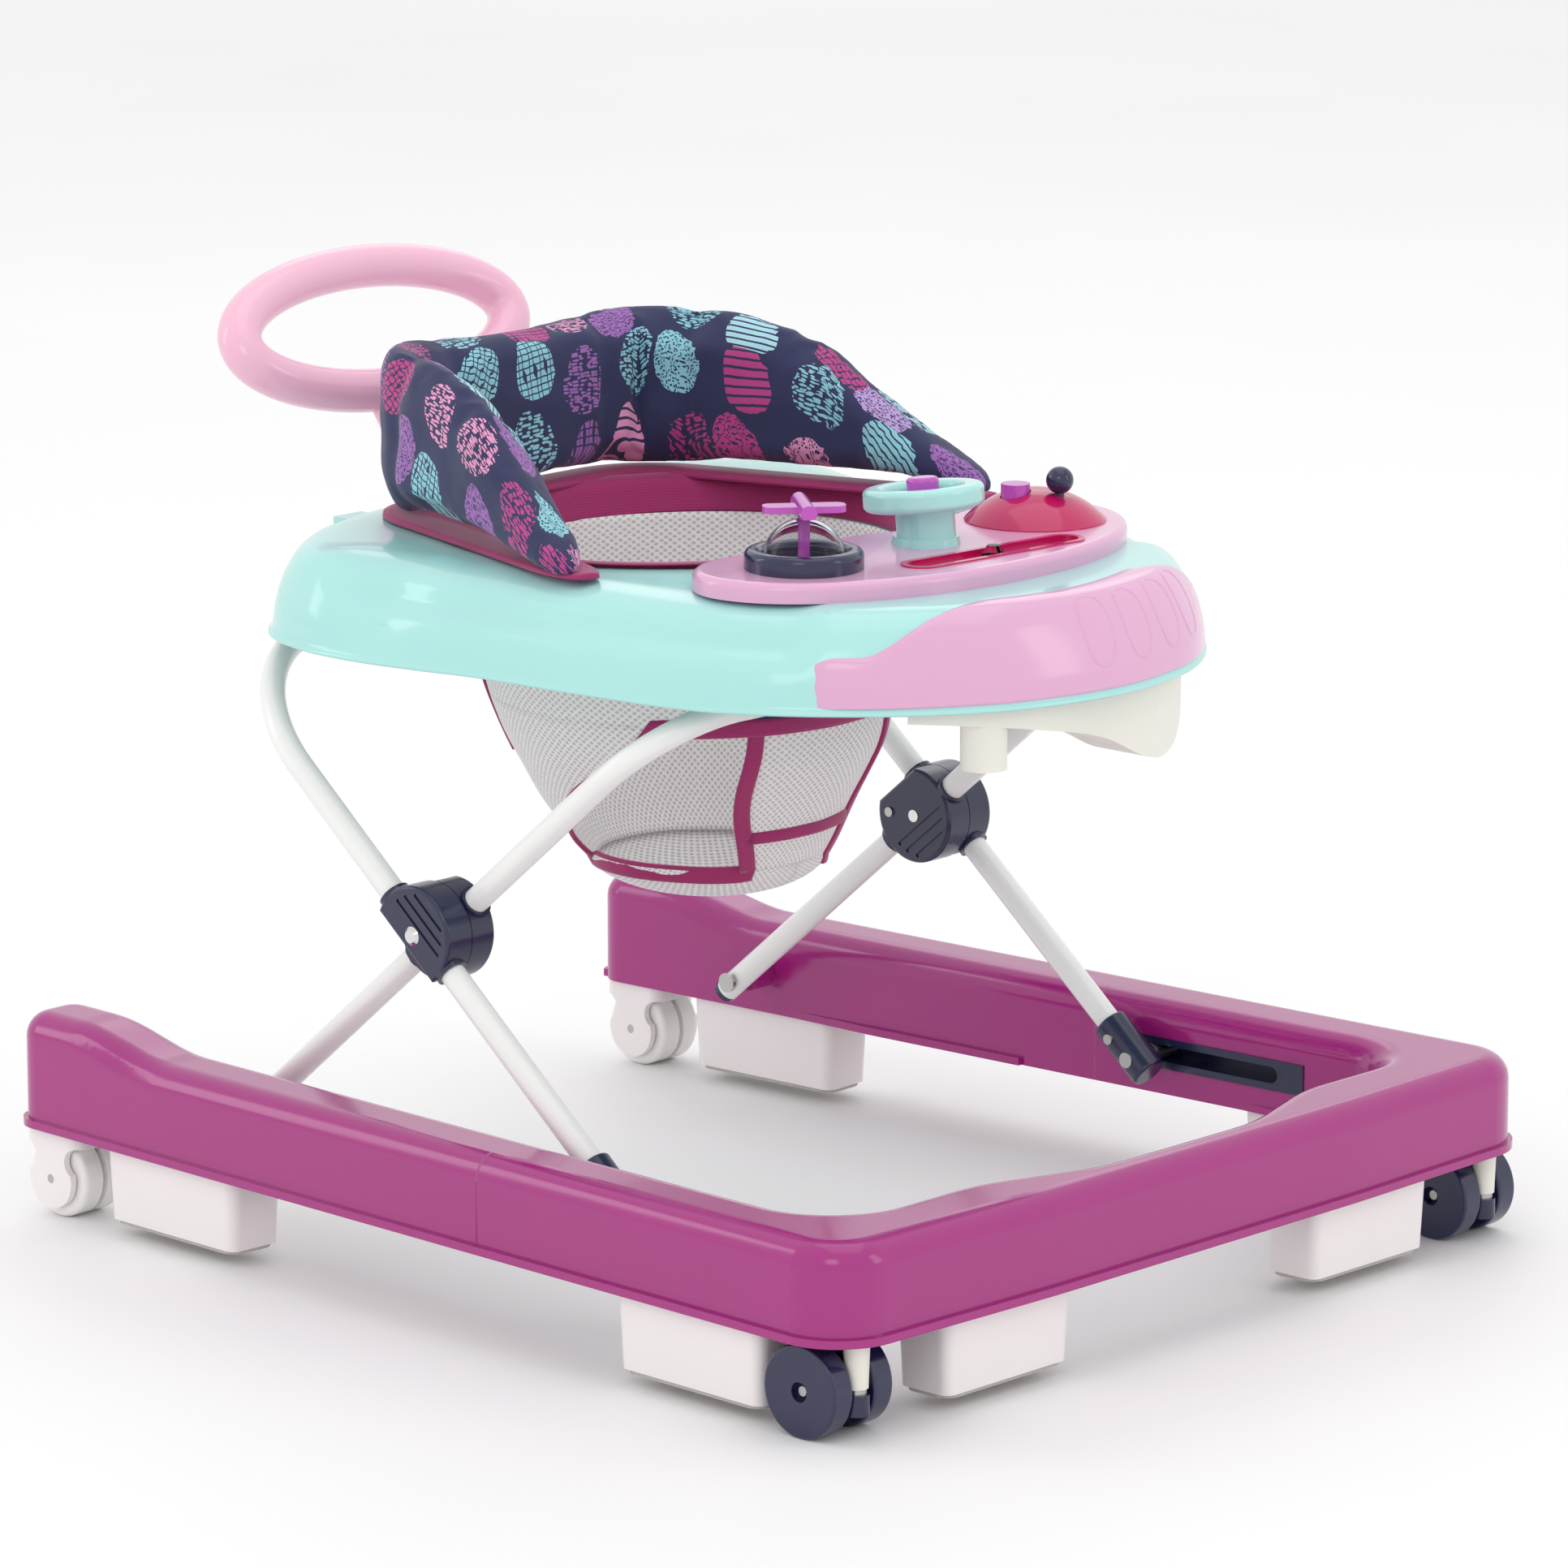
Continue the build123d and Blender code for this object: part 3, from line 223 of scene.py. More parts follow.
def mix_colour(tree, amount, below, above):
    """A blend of two colours, each a socket or a list."""
    settings, links = {"data_type": "RGBA"}, {0: amount}
    for index, value in ((6, below), (7, above)):
        if isinstance(value, list):
            settings[index] = value
        else:
            links[index] = value
    return add(tree, "Mix", settings, links).outputs[2]


def above_level(tree, value, level):
    return math_node(tree, "GREATER_THAN", value, level)


def motif_print(tree, uv):
    """Egg-shaped motifs, one to a cell of an uneven grid, with the cell's random numbers and its own axes."""
    pitch = 50 * MM
    egg_width, egg_height = 0.34, 0.46
    scaled = add(tree, "VectorMath", {"operation": "SCALE", "Scale": 1 / pitch}, {"Vector": uv})
    cell = add(tree, "TexVoronoi", {"voronoi_dimensions": "2D", "Scale": 1.0, "Randomness": 0.5},
               {"Vector": scaled.outputs[0]})
    local = add(tree, "VectorMath", {"operation": "SUBTRACT"},
                {0: scaled.outputs[0], 1: cell.outputs["Position"]})
    pick = add(tree, "SeparateColor", {}, {"Color": cell.outputs["Color"]})
    turn = math_node(tree, "MULTIPLY_ADD", pick.outputs["Blue"], 1.2, -0.6)
    turned = add(tree, "VectorRotate", {"rotation_type": "Z_AXIS"},
                 {"Vector": local.outputs[0], "Angle": turn})
    axes = add(tree, "SeparateXYZ", {}, {"Vector": turned.outputs[0]})
    wide, tall = axes.outputs["X"], axes.outputs["Y"]
    taper = math_node(tree, "MULTIPLY_ADD", tall, 0.16, egg_width)
    across = math_node(tree, "ABSOLUTE", math_node(tree, "DIVIDE", wide, taper))
    upward = math_node(tree, "ABSOLUTE", math_node(tree, "DIVIDE", tall, egg_height))
    radius = math_node(tree, "ADD", math_node(tree, "POWER", across, 2.2),
                       math_node(tree, "POWER", upward, 2.2))
    return math_node(tree, "LESS_THAN", radius, 1.0), pick, wide, tall


def printed_cotton(name):
    """Printed cotton twill over foam: a close weave with soft sheen, and dyed eggs of dashes, checks and
    stripes.
    """
    material, tree, shader = new_material(name)
    uv = add(tree, "UVMap", {"uv_map": "print"}).outputs["UV"]
    ground = linear("262B55")
    inside, pick, wide, tall = motif_print(tree, uv)
    style, hue = pick.outputs["Red"], pick.outputs["Green"]
    dye = add(tree, "ValToRGB", {}, {"Fac": hue})
    dye.color_ramp.interpolation = "CONSTANT"
    stops = [(0.0, "8CCBD6"), (0.24, "E79AC4"), (0.40, "BC3F88"), (0.60, "9D66B2"), (0.78, "B79AD2"),
             (0.90, "A9D9E4")]
    dye.color_ramp.elements[0].color = linear(stops[0][1])
    dye.color_ramp.elements[1].position = stops[1][0]
    dye.color_ramp.elements[1].color = linear(stops[1][1])
    for place, colour in stops[2:]:
        dye.color_ramp.elements.new(place).color = linear(colour)
    # fills of an egg: fine checks, short dashes, speckle and plain
    check_pitch, stripe_pitch = 34.0, 26.0
    lines_x = math_node(tree, "ABSOLUTE", math_node(tree, "SINE",
                                                    math_node(tree, "MULTIPLY", wide, check_pitch)))
    lines_y = math_node(tree, "ABSOLUTE", math_node(tree, "SINE",
                                                    math_node(tree, "MULTIPLY", tall, check_pitch)))
    rows = math_node(tree, "ABSOLUTE", math_node(tree, "SINE",
                                                 math_node(tree, "MULTIPLY", tall, stripe_pitch)))
    checks = math_node(tree, "MULTIPLY", above_level(tree, lines_x, 0.34), above_level(tree, lines_y, 0.34))
    stripes = above_level(tree, rows, 0.45)
    dash_spots = add(tree, "VectorMath", {"operation": "MULTIPLY", 1: (170.0, 420.0, 1.0)}, {0: uv})
    dash = add(tree, "TexVoronoi", {"voronoi_dimensions": "2D", "Scale": 1.0, "Randomness": 0.7},
               {"Vector": dash_spots.outputs[0]})
    dashes = math_node(tree, "LESS_THAN", dash.outputs["Distance"], 0.38)
    fleck = add(tree, "TexVoronoi", {"voronoi_dimensions": "2D", "Scale": 420.0}, {"Vector": uv})
    speckle = math_node(tree, "GREATER_THAN", fleck.outputs["Distance"], 0.30)
    fill = mix_value(tree, above_level(tree, style, 0.28), checks, dashes)
    fill = mix_value(tree, above_level(tree, style, 0.62), fill, stripes)
    fill = mix_value(tree, above_level(tree, style, 0.76), fill, speckle)
    ink = math_node(tree, "MULTIPLY", inside, fill)
    printed = mix_colour(tree, ink, ground, dye.outputs["Color"])
    # the weave: 0.5 mm twill threads, drawn about 3 mm apart so that they show
    twill = add(tree, "TexWave", {"Scale": 160.0, "Distortion": 0.0, "bands_direction": "DIAGONAL"},
                {"Vector": uv})
    cloud = add(tree, "TexNoise", {"Scale": 40.0, "Detail": 2.0}, {"Vector": uv})
    worn = add(tree, "MapRange", {"To Min": 0.9, "To Max": 1.1}, {"Value": cloud.outputs["Fac"]})
    shade = add(tree, "HueSaturation", {}, {"Color": printed, "Value": worn.outputs["Result"]})
    tree.links.new(shade.outputs["Color"], shader.inputs["Base Color"])
    bump = add(tree, "Bump", {"Strength": 0.35, "Distance": 0.15 * MM}, {"Height": twill.outputs["Fac"]})
    tree.links.new(bump.outputs["Normal"], shader.inputs["Normal"])
    shader.inputs["Roughness"].default_value = 0.78
    shader.inputs["Sheen Weight"].default_value = 0.15
    shader.inputs["Sheen Roughness"].default_value = 0.5
    return material


def mix_value(tree, amount, below, above):
    """A blend of two single values."""
    return add(tree, "Mix", {"data_type": "FLOAT"}, {0: amount, 2: below, 3: above}).outputs[0]


def knitted_mesh(name):
    """Warp-knitted polyester mesh: white yarn round small holes 2 mm apart, drawn at 3 mm. The holes are
    filled with painted shade, a pale grey for the darkness seen through them.
    """
    material, tree, shader = new_material(name)
    uv = add(tree, "UVMap", {"uv_map": "print"}).outputs["UV"]
    turned = add(tree, "Mapping", {"Rotation": (0, 0, math.radians(45)), "Scale": (330, 330, 330)},
                 {"Vector": uv})
    holes = add(tree, "TexVoronoi", {"voronoi_dimensions": "2D", "Scale": 1.0, "Randomness": 0.12},
                {"Vector": turned.outputs[0]})
    # yarn is 1 on the yarn and 0 in the holes: it raises the yarn in the bump and also places the painted
    # shade in the holes
    yarn = add(tree, "MapRange", {"From Min": 0.22, "From Max": 0.42}, {"Value": holes.outputs["Distance"]})
    # painted shade: the holes are coloured pale grey (C9C6C6) for the darkness seen through them; the yarn is
    # white (F4F2F1)
    cloth = mix_colour(tree, yarn.outputs["Result"], linear("C9C6C6"), linear("F4F2F1"))
    tree.links.new(cloth, shader.inputs["Base Color"])
    bump = add(tree, "Bump", {"Strength": 0.5, "Distance": 0.4 * MM}, {"Height": yarn.outputs["Result"]})
    tree.links.new(bump.outputs["Normal"], shader.inputs["Normal"])
    shader.inputs["Roughness"].default_value = 0.85
    shader.inputs["Sheen Weight"].default_value = 0.2
    shader.inputs["Subsurface Weight"].default_value = 0.15
    shader.inputs["Subsurface Radius"].default_value = (0.004, 0.004, 0.004)
    return material


def bias_tape(name, colour):
    """Folded polyester bias tape: a ribbed grosgrain with a dull sheen."""
    material, tree, shader = new_material(name)
    place = shade_variation(tree, shader, linear(colour), 0.08, (0.65, 0.8), 90.0)
    ribs = add(tree, "TexWave", {"Scale": 1 / (5.5 * MM), "bands_direction": "Z"},
               {"Vector": place.outputs["Object"]})
    bump = add(tree, "Bump", {"Strength": 0.5, "Distance": 0.25 * MM}, {"Height": ribs.outputs["Fac"]})
    tree.links.new(bump.outputs["Normal"], shader.inputs["Normal"])
    shader.inputs["Sheen Weight"].default_value = 0.3
    return material


FINISHES = {
    "base_gloss": moulded_base("moulded_abs_magenta", "A31E7B"),
    "mint_gloss": moulded_abs("moulded_abs_mint", "ABE2DD", 0.17),
    "pink_gloss": moulded_abs("moulded_abs_pink", "DFA9CC", 0.17),
    "handle_pink": moulded_abs("moulded_abs_pale_pink", "F2BAD2", 0.18),
    "navy_gloss": moulded_abs("moulded_abs_navy", "1E2146", 0.16),
    "crimson_gloss": moulded_abs("moulded_abs_crimson", "C0135C", 0.12),
    "purple_gloss": moulded_abs("moulded_abs_purple", "BE4CBA", 0.15),
    "wheel_white": moulded_abs("moulded_abs_white", "F2F0EE", 0.22),
    "navy_matt": moulded_abs("moulded_nylon_navy", "1C1F42", 0.24),
    "pad_white": moulded_polypropylene("moulded_polypropylene_white", "F1EBEB", 0.36),
    "cream": moulded_polypropylene("moulded_polypropylene_cream", "EAE8DE", 0.36),
    "sole_rubber": moulded_rubber("moulded_rubber_grey", "B9B4AF"),
    "tube_white": powder_coated_tube("powder_coated_steel_white", "F0F0EE"),
    "steel": turned_steel("turned_steel", "B9B9B7", 0.28),
    "rivet_chrome": turned_steel("plated_steel_rivet", "DADADA", 0.12),
    "clear_plastic": clear_polycarbonate("moulded_polycarbonate_clear"),
    "pad_fabric": printed_cotton("printed_cotton_twill"),
    "mesh_fabric": knitted_mesh("knitted_polyester_mesh"),
}
TAPE = bias_tape("folded_bias_tape_magenta", "A01C63")


def finish_packed_nodes():
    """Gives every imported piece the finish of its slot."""
    slots = {part["node"]: part["material_slot"] for part in frame["record"]["subparts"]}
    for name, piece in frame["nodes"].items():
        piece.data.materials.clear()
        piece.data.materials.append(FINISHES[slots[name]])


# ---------------------------------------------------------------- mesh helpers

def to_object(name, points, faces, material, body="tray", smooth=True):
    """A mesh piece from points in millimetres."""
    mesh = bpy.data.meshes.new(name)
    mesh.from_pydata([(x * MM, y * MM, z * MM) for x, y, z in points], [], faces)
    mesh.validate()
    piece = bpy.data.objects.new(name, mesh)
    bpy.context.scene.collection.objects.link(piece)
    mesh.materials.append(material)
    for face in mesh.polygons:
        face.use_smooth = smooth
    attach(piece, body)
    return piece


def grid_faces(rows, columns, wrap_columns=True, wrap_rows=False):
    """Faces of a grid of points stored row by row."""
    faces = []
    for i in range(rows if wrap_rows else rows - 1):
        for j in range(columns if wrap_columns else columns - 1):
            k, m = (i + 1) % rows, (j + 1) % columns
            faces.append((i * columns + j, i * columns + m, k * columns + m, k * columns + j))
    return faces


def smoothstep(low, high, value):
    t = min(max((value - low) / (high - low), 0.0), 1.0)
    return t * t * (3 - 2 * t)


def periodic_curve(points, count):
    """Points of a closed Catmull-Rom curve, evenly spread in its parameter."""
    total = len(points)
    out = []
    for step in range(count):
        place = step * total / count
        i, t = int(place), place - int(place)
        p0, p1, p2, p3 = (Vector(points[(i + k) % total]) for k in (-1, 0, 1, 2))
        out.append(0.5 * ((2 * p1) + (p2 - p0) * t + (2 * p0 - 5 * p1 + 4 * p2 - p3) * t * t
                          + (3 * p1 - p0 - 3 * p2 + p3) * t ** 3))
    return out


def set_uv(piece, coordinates):
    """Writes a UV map in metres from one pair per vertex."""
    layer = piece.data.uv_layers.new(name="print")
    for loop in piece.data.loops:
        u, v = coordinates[loop.vertex_index]
        layer.data[loop.index].uv = (u, v)


def add_subdivision(piece, levels=1):
    modifier = piece.modifiers.new("rounding", "SUBSURF")
    modifier.levels = levels
    modifier.render_levels = levels


def sweep_section(name, path, section, normals, material, closed=False, body="tray"):
    """A closed section of (across, out) points carried along a path with a surface normal at each point."""
    count = len(path)
    points = []
    for i, spot in enumerate(path):
        ahead = path[(i + 1) % count] if closed or i < count - 1 else path[i]
        behind = path[i - 1] if closed or i > 0 else path[i]
        along = (ahead - behind).normalized()
        out = (normals[i] - along * normals[i].dot(along)).normalized()
        across = along.cross(out)
        points += [spot + across * a + out * b for a, b in section]
    faces = grid_faces(count, len(section), True, closed)
    if not closed:
        faces.append(tuple(reversed(range(len(section)))))
        last = (count - 1) * len(section)
        faces.append(tuple(range(last, last + len(section))))
    return to_object(name, points, faces, material, body)


def tape_section(width, thickness):
    """A folded tape: flat, with rounded edges."""
    half, top = width / 2, thickness
    return [(-half, 0), (-half + 0.5, top * 0.8), (-half * 0.5, top), (0, top * 1.05), (half * 0.5, top),
            (half - 0.5, top * 0.8), (half, 0), (half - 0.5, -top * 0.6), (0, -top * 0.7),
            (-half + 0.5, -top * 0.6)]


# ---------------------------------------------------------------- tray skin and bumper

OUTLINE = TRAY_HALF + [(x, -y) for x, y in reversed(TRAY_HALF[1:-1])]
COLUMNS = 288


def tray_rim():
    """Points of the rim, with their inward normals."""
    rim = periodic_curve([(x, y) for x, y in OUTLINE], COLUMNS)
    normals = []
    for i, spot in enumerate(rim):
        along = (rim[(i + 1) % COLUMNS] - rim[i - 1]).normalized()
        normals.append(Vector((along.y, -along.x)))
    return rim, normals


def side_profile(x):
    """(inset, height) pairs up the tray's wall: rounded behind and in front, a stepped shoulder along
    the side.
    """
    wing = [(-2.2, 384.5), (-2.4, 387), (0.2, 388.2), (0.8, 392), (1.8, 402), (4.8, 414), (9.0, 424),
            (14, 432.5),
            (19.5, 438.6), (26, 442.4), (36, 444.2), (54, 444.6)]
    side = [(-2.2, 384.5), (-2.4, 387), (0.2, 388.2), (0.8, 392), (2.5, 402), (5.5, 411), (10.5, 417.0),
            (17, 419.5),
            (20, 424), (23.5, 433.0), (32, 439.5), (50, 443.2)]
    share = smoothstep(-175, -105, x) * (1 - smoothstep(192, 216, x))
    return [(a[0] + (b[0] - a[0]) * share, a[1] + (b[1] - a[1]) * share) for a, b in zip(wing, side)]


def waist(x):
    """How far the wall is pulled in where the wing meets the side."""
    return 5.5 * math.exp(-((x + 92) / 22) ** 2) - 2.0 * math.exp(-((x + 150) / 26) ** 2)


def tray_surface(spot, normal, inset, height, offset=0.0):
    pull = waist(spot.x) * smoothstep(388, 412, height)
    place = spot + normal * (inset + pull - offset)
    return (place.x, place.y, height + offset * smoothstep(418, 440, height))


def make_tray_skin():
    """The tray's moulded skin, from the rim up over the shoulder and down into the seat opening."""
    rim, normals = tray_rim()
    centre_x, half_x, half_y = SEAT_HOLE
    rows = []
    profiles = [side_profile(spot.x) for spot in rim]
    for k in range(len(profiles[0])):
        rows.append([tray_surface(s, n, *profiles[i][k]) for i, (s, n) in enumerate(zip(rim, normals))])
    edge = rows[-1]
    hole = []
    for x, y, z in edge:
        angle = math.atan2(y / half_y, (x - centre_x) / half_x)
        hole.append((centre_x + half_x * math.cos(angle), half_y * math.sin(angle)))
    for share, height in ((0.35, 443.2), (0.7, 444.0), (0.94, 444.2)):
        settled = min(1, share * 2)
        rows.append([(e[0] + (h[0] - e[0]) * share, e[1] + (h[1] - e[1]) * share,
                      e[2] + (height - e[2]) * settled)
                     for e, h in zip(edge, hole)])
    for share, height in ((1.0, 441.5), (1.004, 436), (1.004, 408), (1.022, 406)):
        rows.append([(centre_x + (h[0] - centre_x) * share, h[1] * share, height) for h in hole])
    # the rim turns in under the tray and up inside its wall
    turned_in = []
    for inset, height in ((9, 408.0), (3, 384.5)):
        turned_in.append([((s + n * inset).x, (s + n * inset).y, height) for s, n in zip(rim, normals)])
    points = [p for row in turned_in + rows for p in row]
    faces = grid_faces(len(rows) + 2, COLUMNS)
    skin = to_object("tray_skin", points, faces, FINISHES["mint_gloss"])
    add_subdivision(skin)
    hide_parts("tray_shell")
    return skin


def make_bumper():
    """The pink bumper that wraps the tray's front, raised at the middle."""
    rim, normals = tray_rim()
    order = [i for i in range(COLUMNS) if rim[i].x > BUMPER_REAR_X]
    thickness = 2.2
    rows_count = 22
    points = []
    for i in order:
        spot, normal = rim[i], normals[i]
        profile = side_profile(spot.x)
        rise = smoothstep(228, 286, spot.x)
        end = smoothstep(BUMPER_REAR_X, BUMPER_REAR_X + 12, spot.x)
        top_share = 0.50 + 0.44 * rise
        low_share = 0.20
        middle = (top_share + low_share) / 2
        low_share = middle + (low_share - middle) * (0.80 + 0.20 * end)
        top_share = middle + (top_share - middle) * (0.80 + 0.20 * end)
        for k in range(rows_count + 1):
            share = low_share + (top_share - low_share) * k / rows_count
            inset, height = profile_at(profile, share)
            edge = min(k, rows_count - k) / rows_count * 2
            side = min(i - order[0], order[-1] - i) / 5.0
            lift = thickness * min(1.0, (edge * 7) ** 0.5, max(side, 0.0) ** 0.5)
            points.append(tray_surface(spot, normal, inset, height, lift - 0.3))
    faces = grid_faces(len(order), rows_count + 1, False)
    faces = [tuple(reversed(face)) for face in faces]
    bumper = to_object("front_bumper_skin", points, faces, FINISHES["pink_gloss"])
    add_subdivision(bumper)
    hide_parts("front_bumper")
    return bumper


def make_bumper_marks():
    """Raised rounded outlines moulded on the bumper's front."""
    rim, normals = tray_rim()
    half_width, loop_steps = 12.5, 36
    for number, y in enumerate(BUMPER_MARKS):
        middle = min((i for i in range(COLUMNS) if rim[i].x > 200), key=lambda i: abs(rim[i].y - y))
        step = (rim[(middle + 1) % COLUMNS] - rim[middle]).length
        path, outwards = [], []
        for k in range(loop_steps):
            angle = 2 * math.pi * k / loop_steps
            c, v = math.cos(angle), math.sin(angle)
            along = half_width * math.copysign(abs(c) ** 0.8, c) / step
            share = 0.58 + 0.20 * math.copysign(abs(v) ** 0.8, v)
            place = (middle + along) % COLUMNS
            i, t = int(place), place - int(place)
            spot = rim[i].lerp(rim[(i + 1) % COLUMNS], t)
            normal = normals[i].lerp(normals[(i + 1) % COLUMNS], t)
            inset, height = profile_at(side_profile(spot.x), share)
            path.append(Vector(tray_surface(spot, normal, inset, height, 1.9)))
            outwards.append(path[-1] - Vector((spot.x + normal.x * 55, spot.y + normal.y * 55, 395)))
        section = [(-1.1, -0.6), (-0.6, 0.25), (0, 0.5), (0.6, 0.25), (1.1, -0.6)]
        sweep_section(f"bumper_mark_{number + 1}", path, section, outwards, FINISHES["pink_gloss"],
                      True)


def profile_at(profile, share):
    """A point at a share of the profile's length, counted in steps."""
    place = share * (len(profile) - 1)
    i = min(int(place), len(profile) - 2)
    t = place - i
    return (profile[i][0] + (profile[i + 1][0] - profile[i][0]) * t,
            profile[i][1] + (profile[i + 1][1] - profile[i][1]) * t)


# ---------------------------------------------------------------- seat pad

def arm_y(x):
    return PAD_CORNER_Y + (PAD_FRONT_Y - PAD_CORNER_Y) / (PAD_FRONT_X - PAD_REAR_X) * (x - PAD_REAR_X)


def pad_path(count):
    """Points and outward normals of the pad's centre line, from the left arm's tip to the right arm's."""
    corner = Vector((PAD_REAR_X, PAD_CORNER_Y))
    tip = Vector((PAD_FRONT_X - 2, arm_y(PAD_FRONT_X - 2)))
    arm_direction = (tip - corner).normalized()
    turn = math.acos(max(-1.0, min(1.0, arm_direction.dot(Vector((0, -1))))))
    reach = PAD_CORNER_RADIUS / math.tan(turn / 2)
    arc_start, arc_end = corner + arm_direction * reach, corner + Vector((0, -1)) * reach
    points = [tip + (arc_start - tip) * i / 40 for i in range(40)]
    for i in range(17):
        t = i / 16
        points.append(arc_start * (1 - t) ** 2 + corner * 2 * t * (1 - t) + arc_end * t * t)
    points += [Vector((arc_end.x, arc_end.y * (1 - i / 20))) for i in range(1, 21)]
    points += [Vector((p.x, -p.y)) for p in reversed(points[:-1])]
    lengths = [0.0]
    for a, b in zip(points, points[1:]):
        lengths.append(lengths[-1] + (b - a).length)
    spread = []
    for k in range(count):
        target = lengths[-1] * k / (count - 1)
        i = max(1, next(n for n, length in enumerate(lengths) if length >= target - 1e-9))
        t = (target - lengths[i - 1]) / max(lengths[i] - lengths[i - 1], 1e-9)
        spread.append(points[i - 1].lerp(points[i], t))
    normals = []
    for k in range(count):
        along = (spread[min(k + 1, count - 1)] - spread[max(k - 1, 0)]).normalized()
        normals.append(Vector((along.y, -along.x)) * -1)
    return spread, normals, lengths[-1]


def pad_top(x):
    """The pad's top edge: level round the back, falling along the arms."""
    if x < -140:
        return PAD_TOP
    points = [(-140, PAD_TOP), (-110, 553), (-73, 541), (-31, 508), (0, 484), (20, 470), (36, 458)]
    for (x0, z0), (x1, z1) in zip(points, points[1:]):
        if x <= x1:
            return z0 + (z1 - z0) * (x - x0) / (x1 - x0)
    return points[-1][1]


def pad_blank():
    """The pad before it is filled: a flat-sided wall with rounded edges."""
    stations, ring = 130, 28
    path, normals, _ = pad_path(stations)
    points = []
    for k, (spot, normal) in enumerate(zip(path, normals)):
        top, bottom = pad_top(spot.x) - 3, PAD_BOTTOM + 3
        middle, half = (top + bottom) / 2, (top - bottom) / 2
        from_end = min(k, stations - 1 - k) / 5.0
        close = math.sqrt(max(0.0, 1 - (1 - min(1.0, from_end)) ** 2)) * 0.96 + 0.04
        for j in range(ring):
            angle = 2 * math.pi * j / ring
            c, s = math.cos(angle), math.sin(angle)
            out = (PAD_HALF_THICKNESS - 2.5) * math.copysign(abs(c) ** 0.85, c) * close
            up = half * math.copysign(abs(s) ** 0.55, s) * (0.6 + 0.4 * close)
            points.append((spot.x + normal.x * out, spot.y + normal.y * out, middle + up))
    faces = grid_faces(stations, ring)
    faces.append(tuple(range(ring)))
    faces.append(tuple(reversed(range((stations - 1) * ring, stations * ring))))
    return points, faces


def inflate(piece, pressure, cap_mm, frames=20):
    """Fills a closed cover with the cloth solver, limits how far it moves, and keeps the result as a mesh."""
    start = [v.co.copy() for v in piece.data.vertices]
    cloth = piece.modifiers.new("filling", "CLOTH")
    cloth.settings.quality = 5
    cloth.settings.use_pressure = True
    cloth.settings.uniform_pressure_force = pressure
    cloth.settings.tension_stiffness = 18
    cloth.settings.compression_stiffness = 18
    cloth.settings.bending_stiffness = 0.6
    cloth.settings.effector_weights.gravity = 0
    cloth.point_cache.frame_start = 1
    cloth.point_cache.frame_end = frames
    for step in range(1, frames + 1):
        bpy.context.scene.frame_set(step)
    shaped = piece.evaluated_get(bpy.context.evaluated_depsgraph_get())
    moved = [v.co.copy() for v in shaped.data.vertices]
    piece.modifiers.remove(cloth)
    for vertex, before, after in zip(piece.data.vertices, start, moved):
        shift = after - before
        if shift.length > cap_mm * MM:
            shift = shift.normalized() * cap_mm * MM
        vertex.co = before + shift
    bpy.context.scene.frame_set(1)


def remesh(piece, size_mm):
    modifier = piece.modifiers.new("even", "REMESH")
    modifier.mode = "VOXEL"
    modifier.voxel_size = size_mm * MM
    modifier.use_smooth_shade = True
    apply_modifiers(piece)


def apply_modifiers(piece):
    """Makes the piece's evaluated shape its own mesh."""
    bpy.context.view_layer.update()
    shaped = piece.evaluated_get(bpy.context.evaluated_depsgraph_get())
    mesh = bpy.data.meshes.new_from_object(shaped)
    old = piece.data
    piece.modifiers.clear()
    piece.data = mesh
    bpy.data.meshes.remove(old)


def pad_locate(x, y, path, normals):
    """The nearest station, the distance along the path to it and the distance out from it."""
    best = min(range(len(path)), key=lambda k: (path[k].x - x) ** 2 + (path[k].y - y) ** 2)
    away = Vector((x, y)) - path[best]
    along = Vector((-normals[best].y, normals[best].x))
    return best, away.dot(along), away.dot(normals[best])


def make_seat_pad():
    """The padded back and arms: a filled cover with creases at its corners."""
    points, faces = pad_blank()
    pad = to_object("seat_pad_cover", points, faces, FINISHES["pad_fabric"])
    remesh(pad, PAD_MESH_SIZE)
    inflate(pad, FILLING_PRESSURE, PAD_SWELL_LIMIT)
    stations = 400
    path, normals, length = pad_path(stations)
    spacing = length / (stations - 1)
    for vertex in pad.data.vertices:
        x, y, z = (c / MM for c in vertex.co)
        k, extra, out = pad_locate(x, y, path, normals)
        s = k * spacing
        side = 1 if out > 0 else -1
        pinch = 0.0
        for seam, width, depth in PAD_SEAMS:
            for place in (seam, length - seam):
                pinch += depth * math.exp(-((s - place) / width) ** 2)
        fold = noise.noise(Vector((s * 0.020, z * 0.045, side * 3.1))) * 2.4
        fold += noise.noise(Vector((s * 0.07 + z * 0.05, z * 0.06, side * 7.7))) * 1.2
        shift = (fold - pinch) * side * MM
        vertex.co.x += normals[k].x * shift
        vertex.co.y += normals[k].y * shift
        vertex.co.z -= pinch * 0.35 * MM * smoothstep(500, 550, z)
    add_subdivision(pad)
    apply_modifiers(pad)
    pad.data.materials.clear()
    pad.data.materials.append(FINISHES["pad_fabric"])
    coordinates = []
    for vertex in pad.data.vertices:
        x, y, z = (c / MM for c in vertex.co)
        k, extra, out = pad_locate(x, y, path, normals)
        drop = pad_top(path[k].x) - z
        height = out + math.copysign(max(drop, 0.0), out)
        coordinates.append(((k * spacing + extra) * MM, height * MM))
    set_uv(pad, coordinates)
    for face in pad.data.polygons:
        face.use_smooth = True
    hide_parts("seat_pad")
    return pad


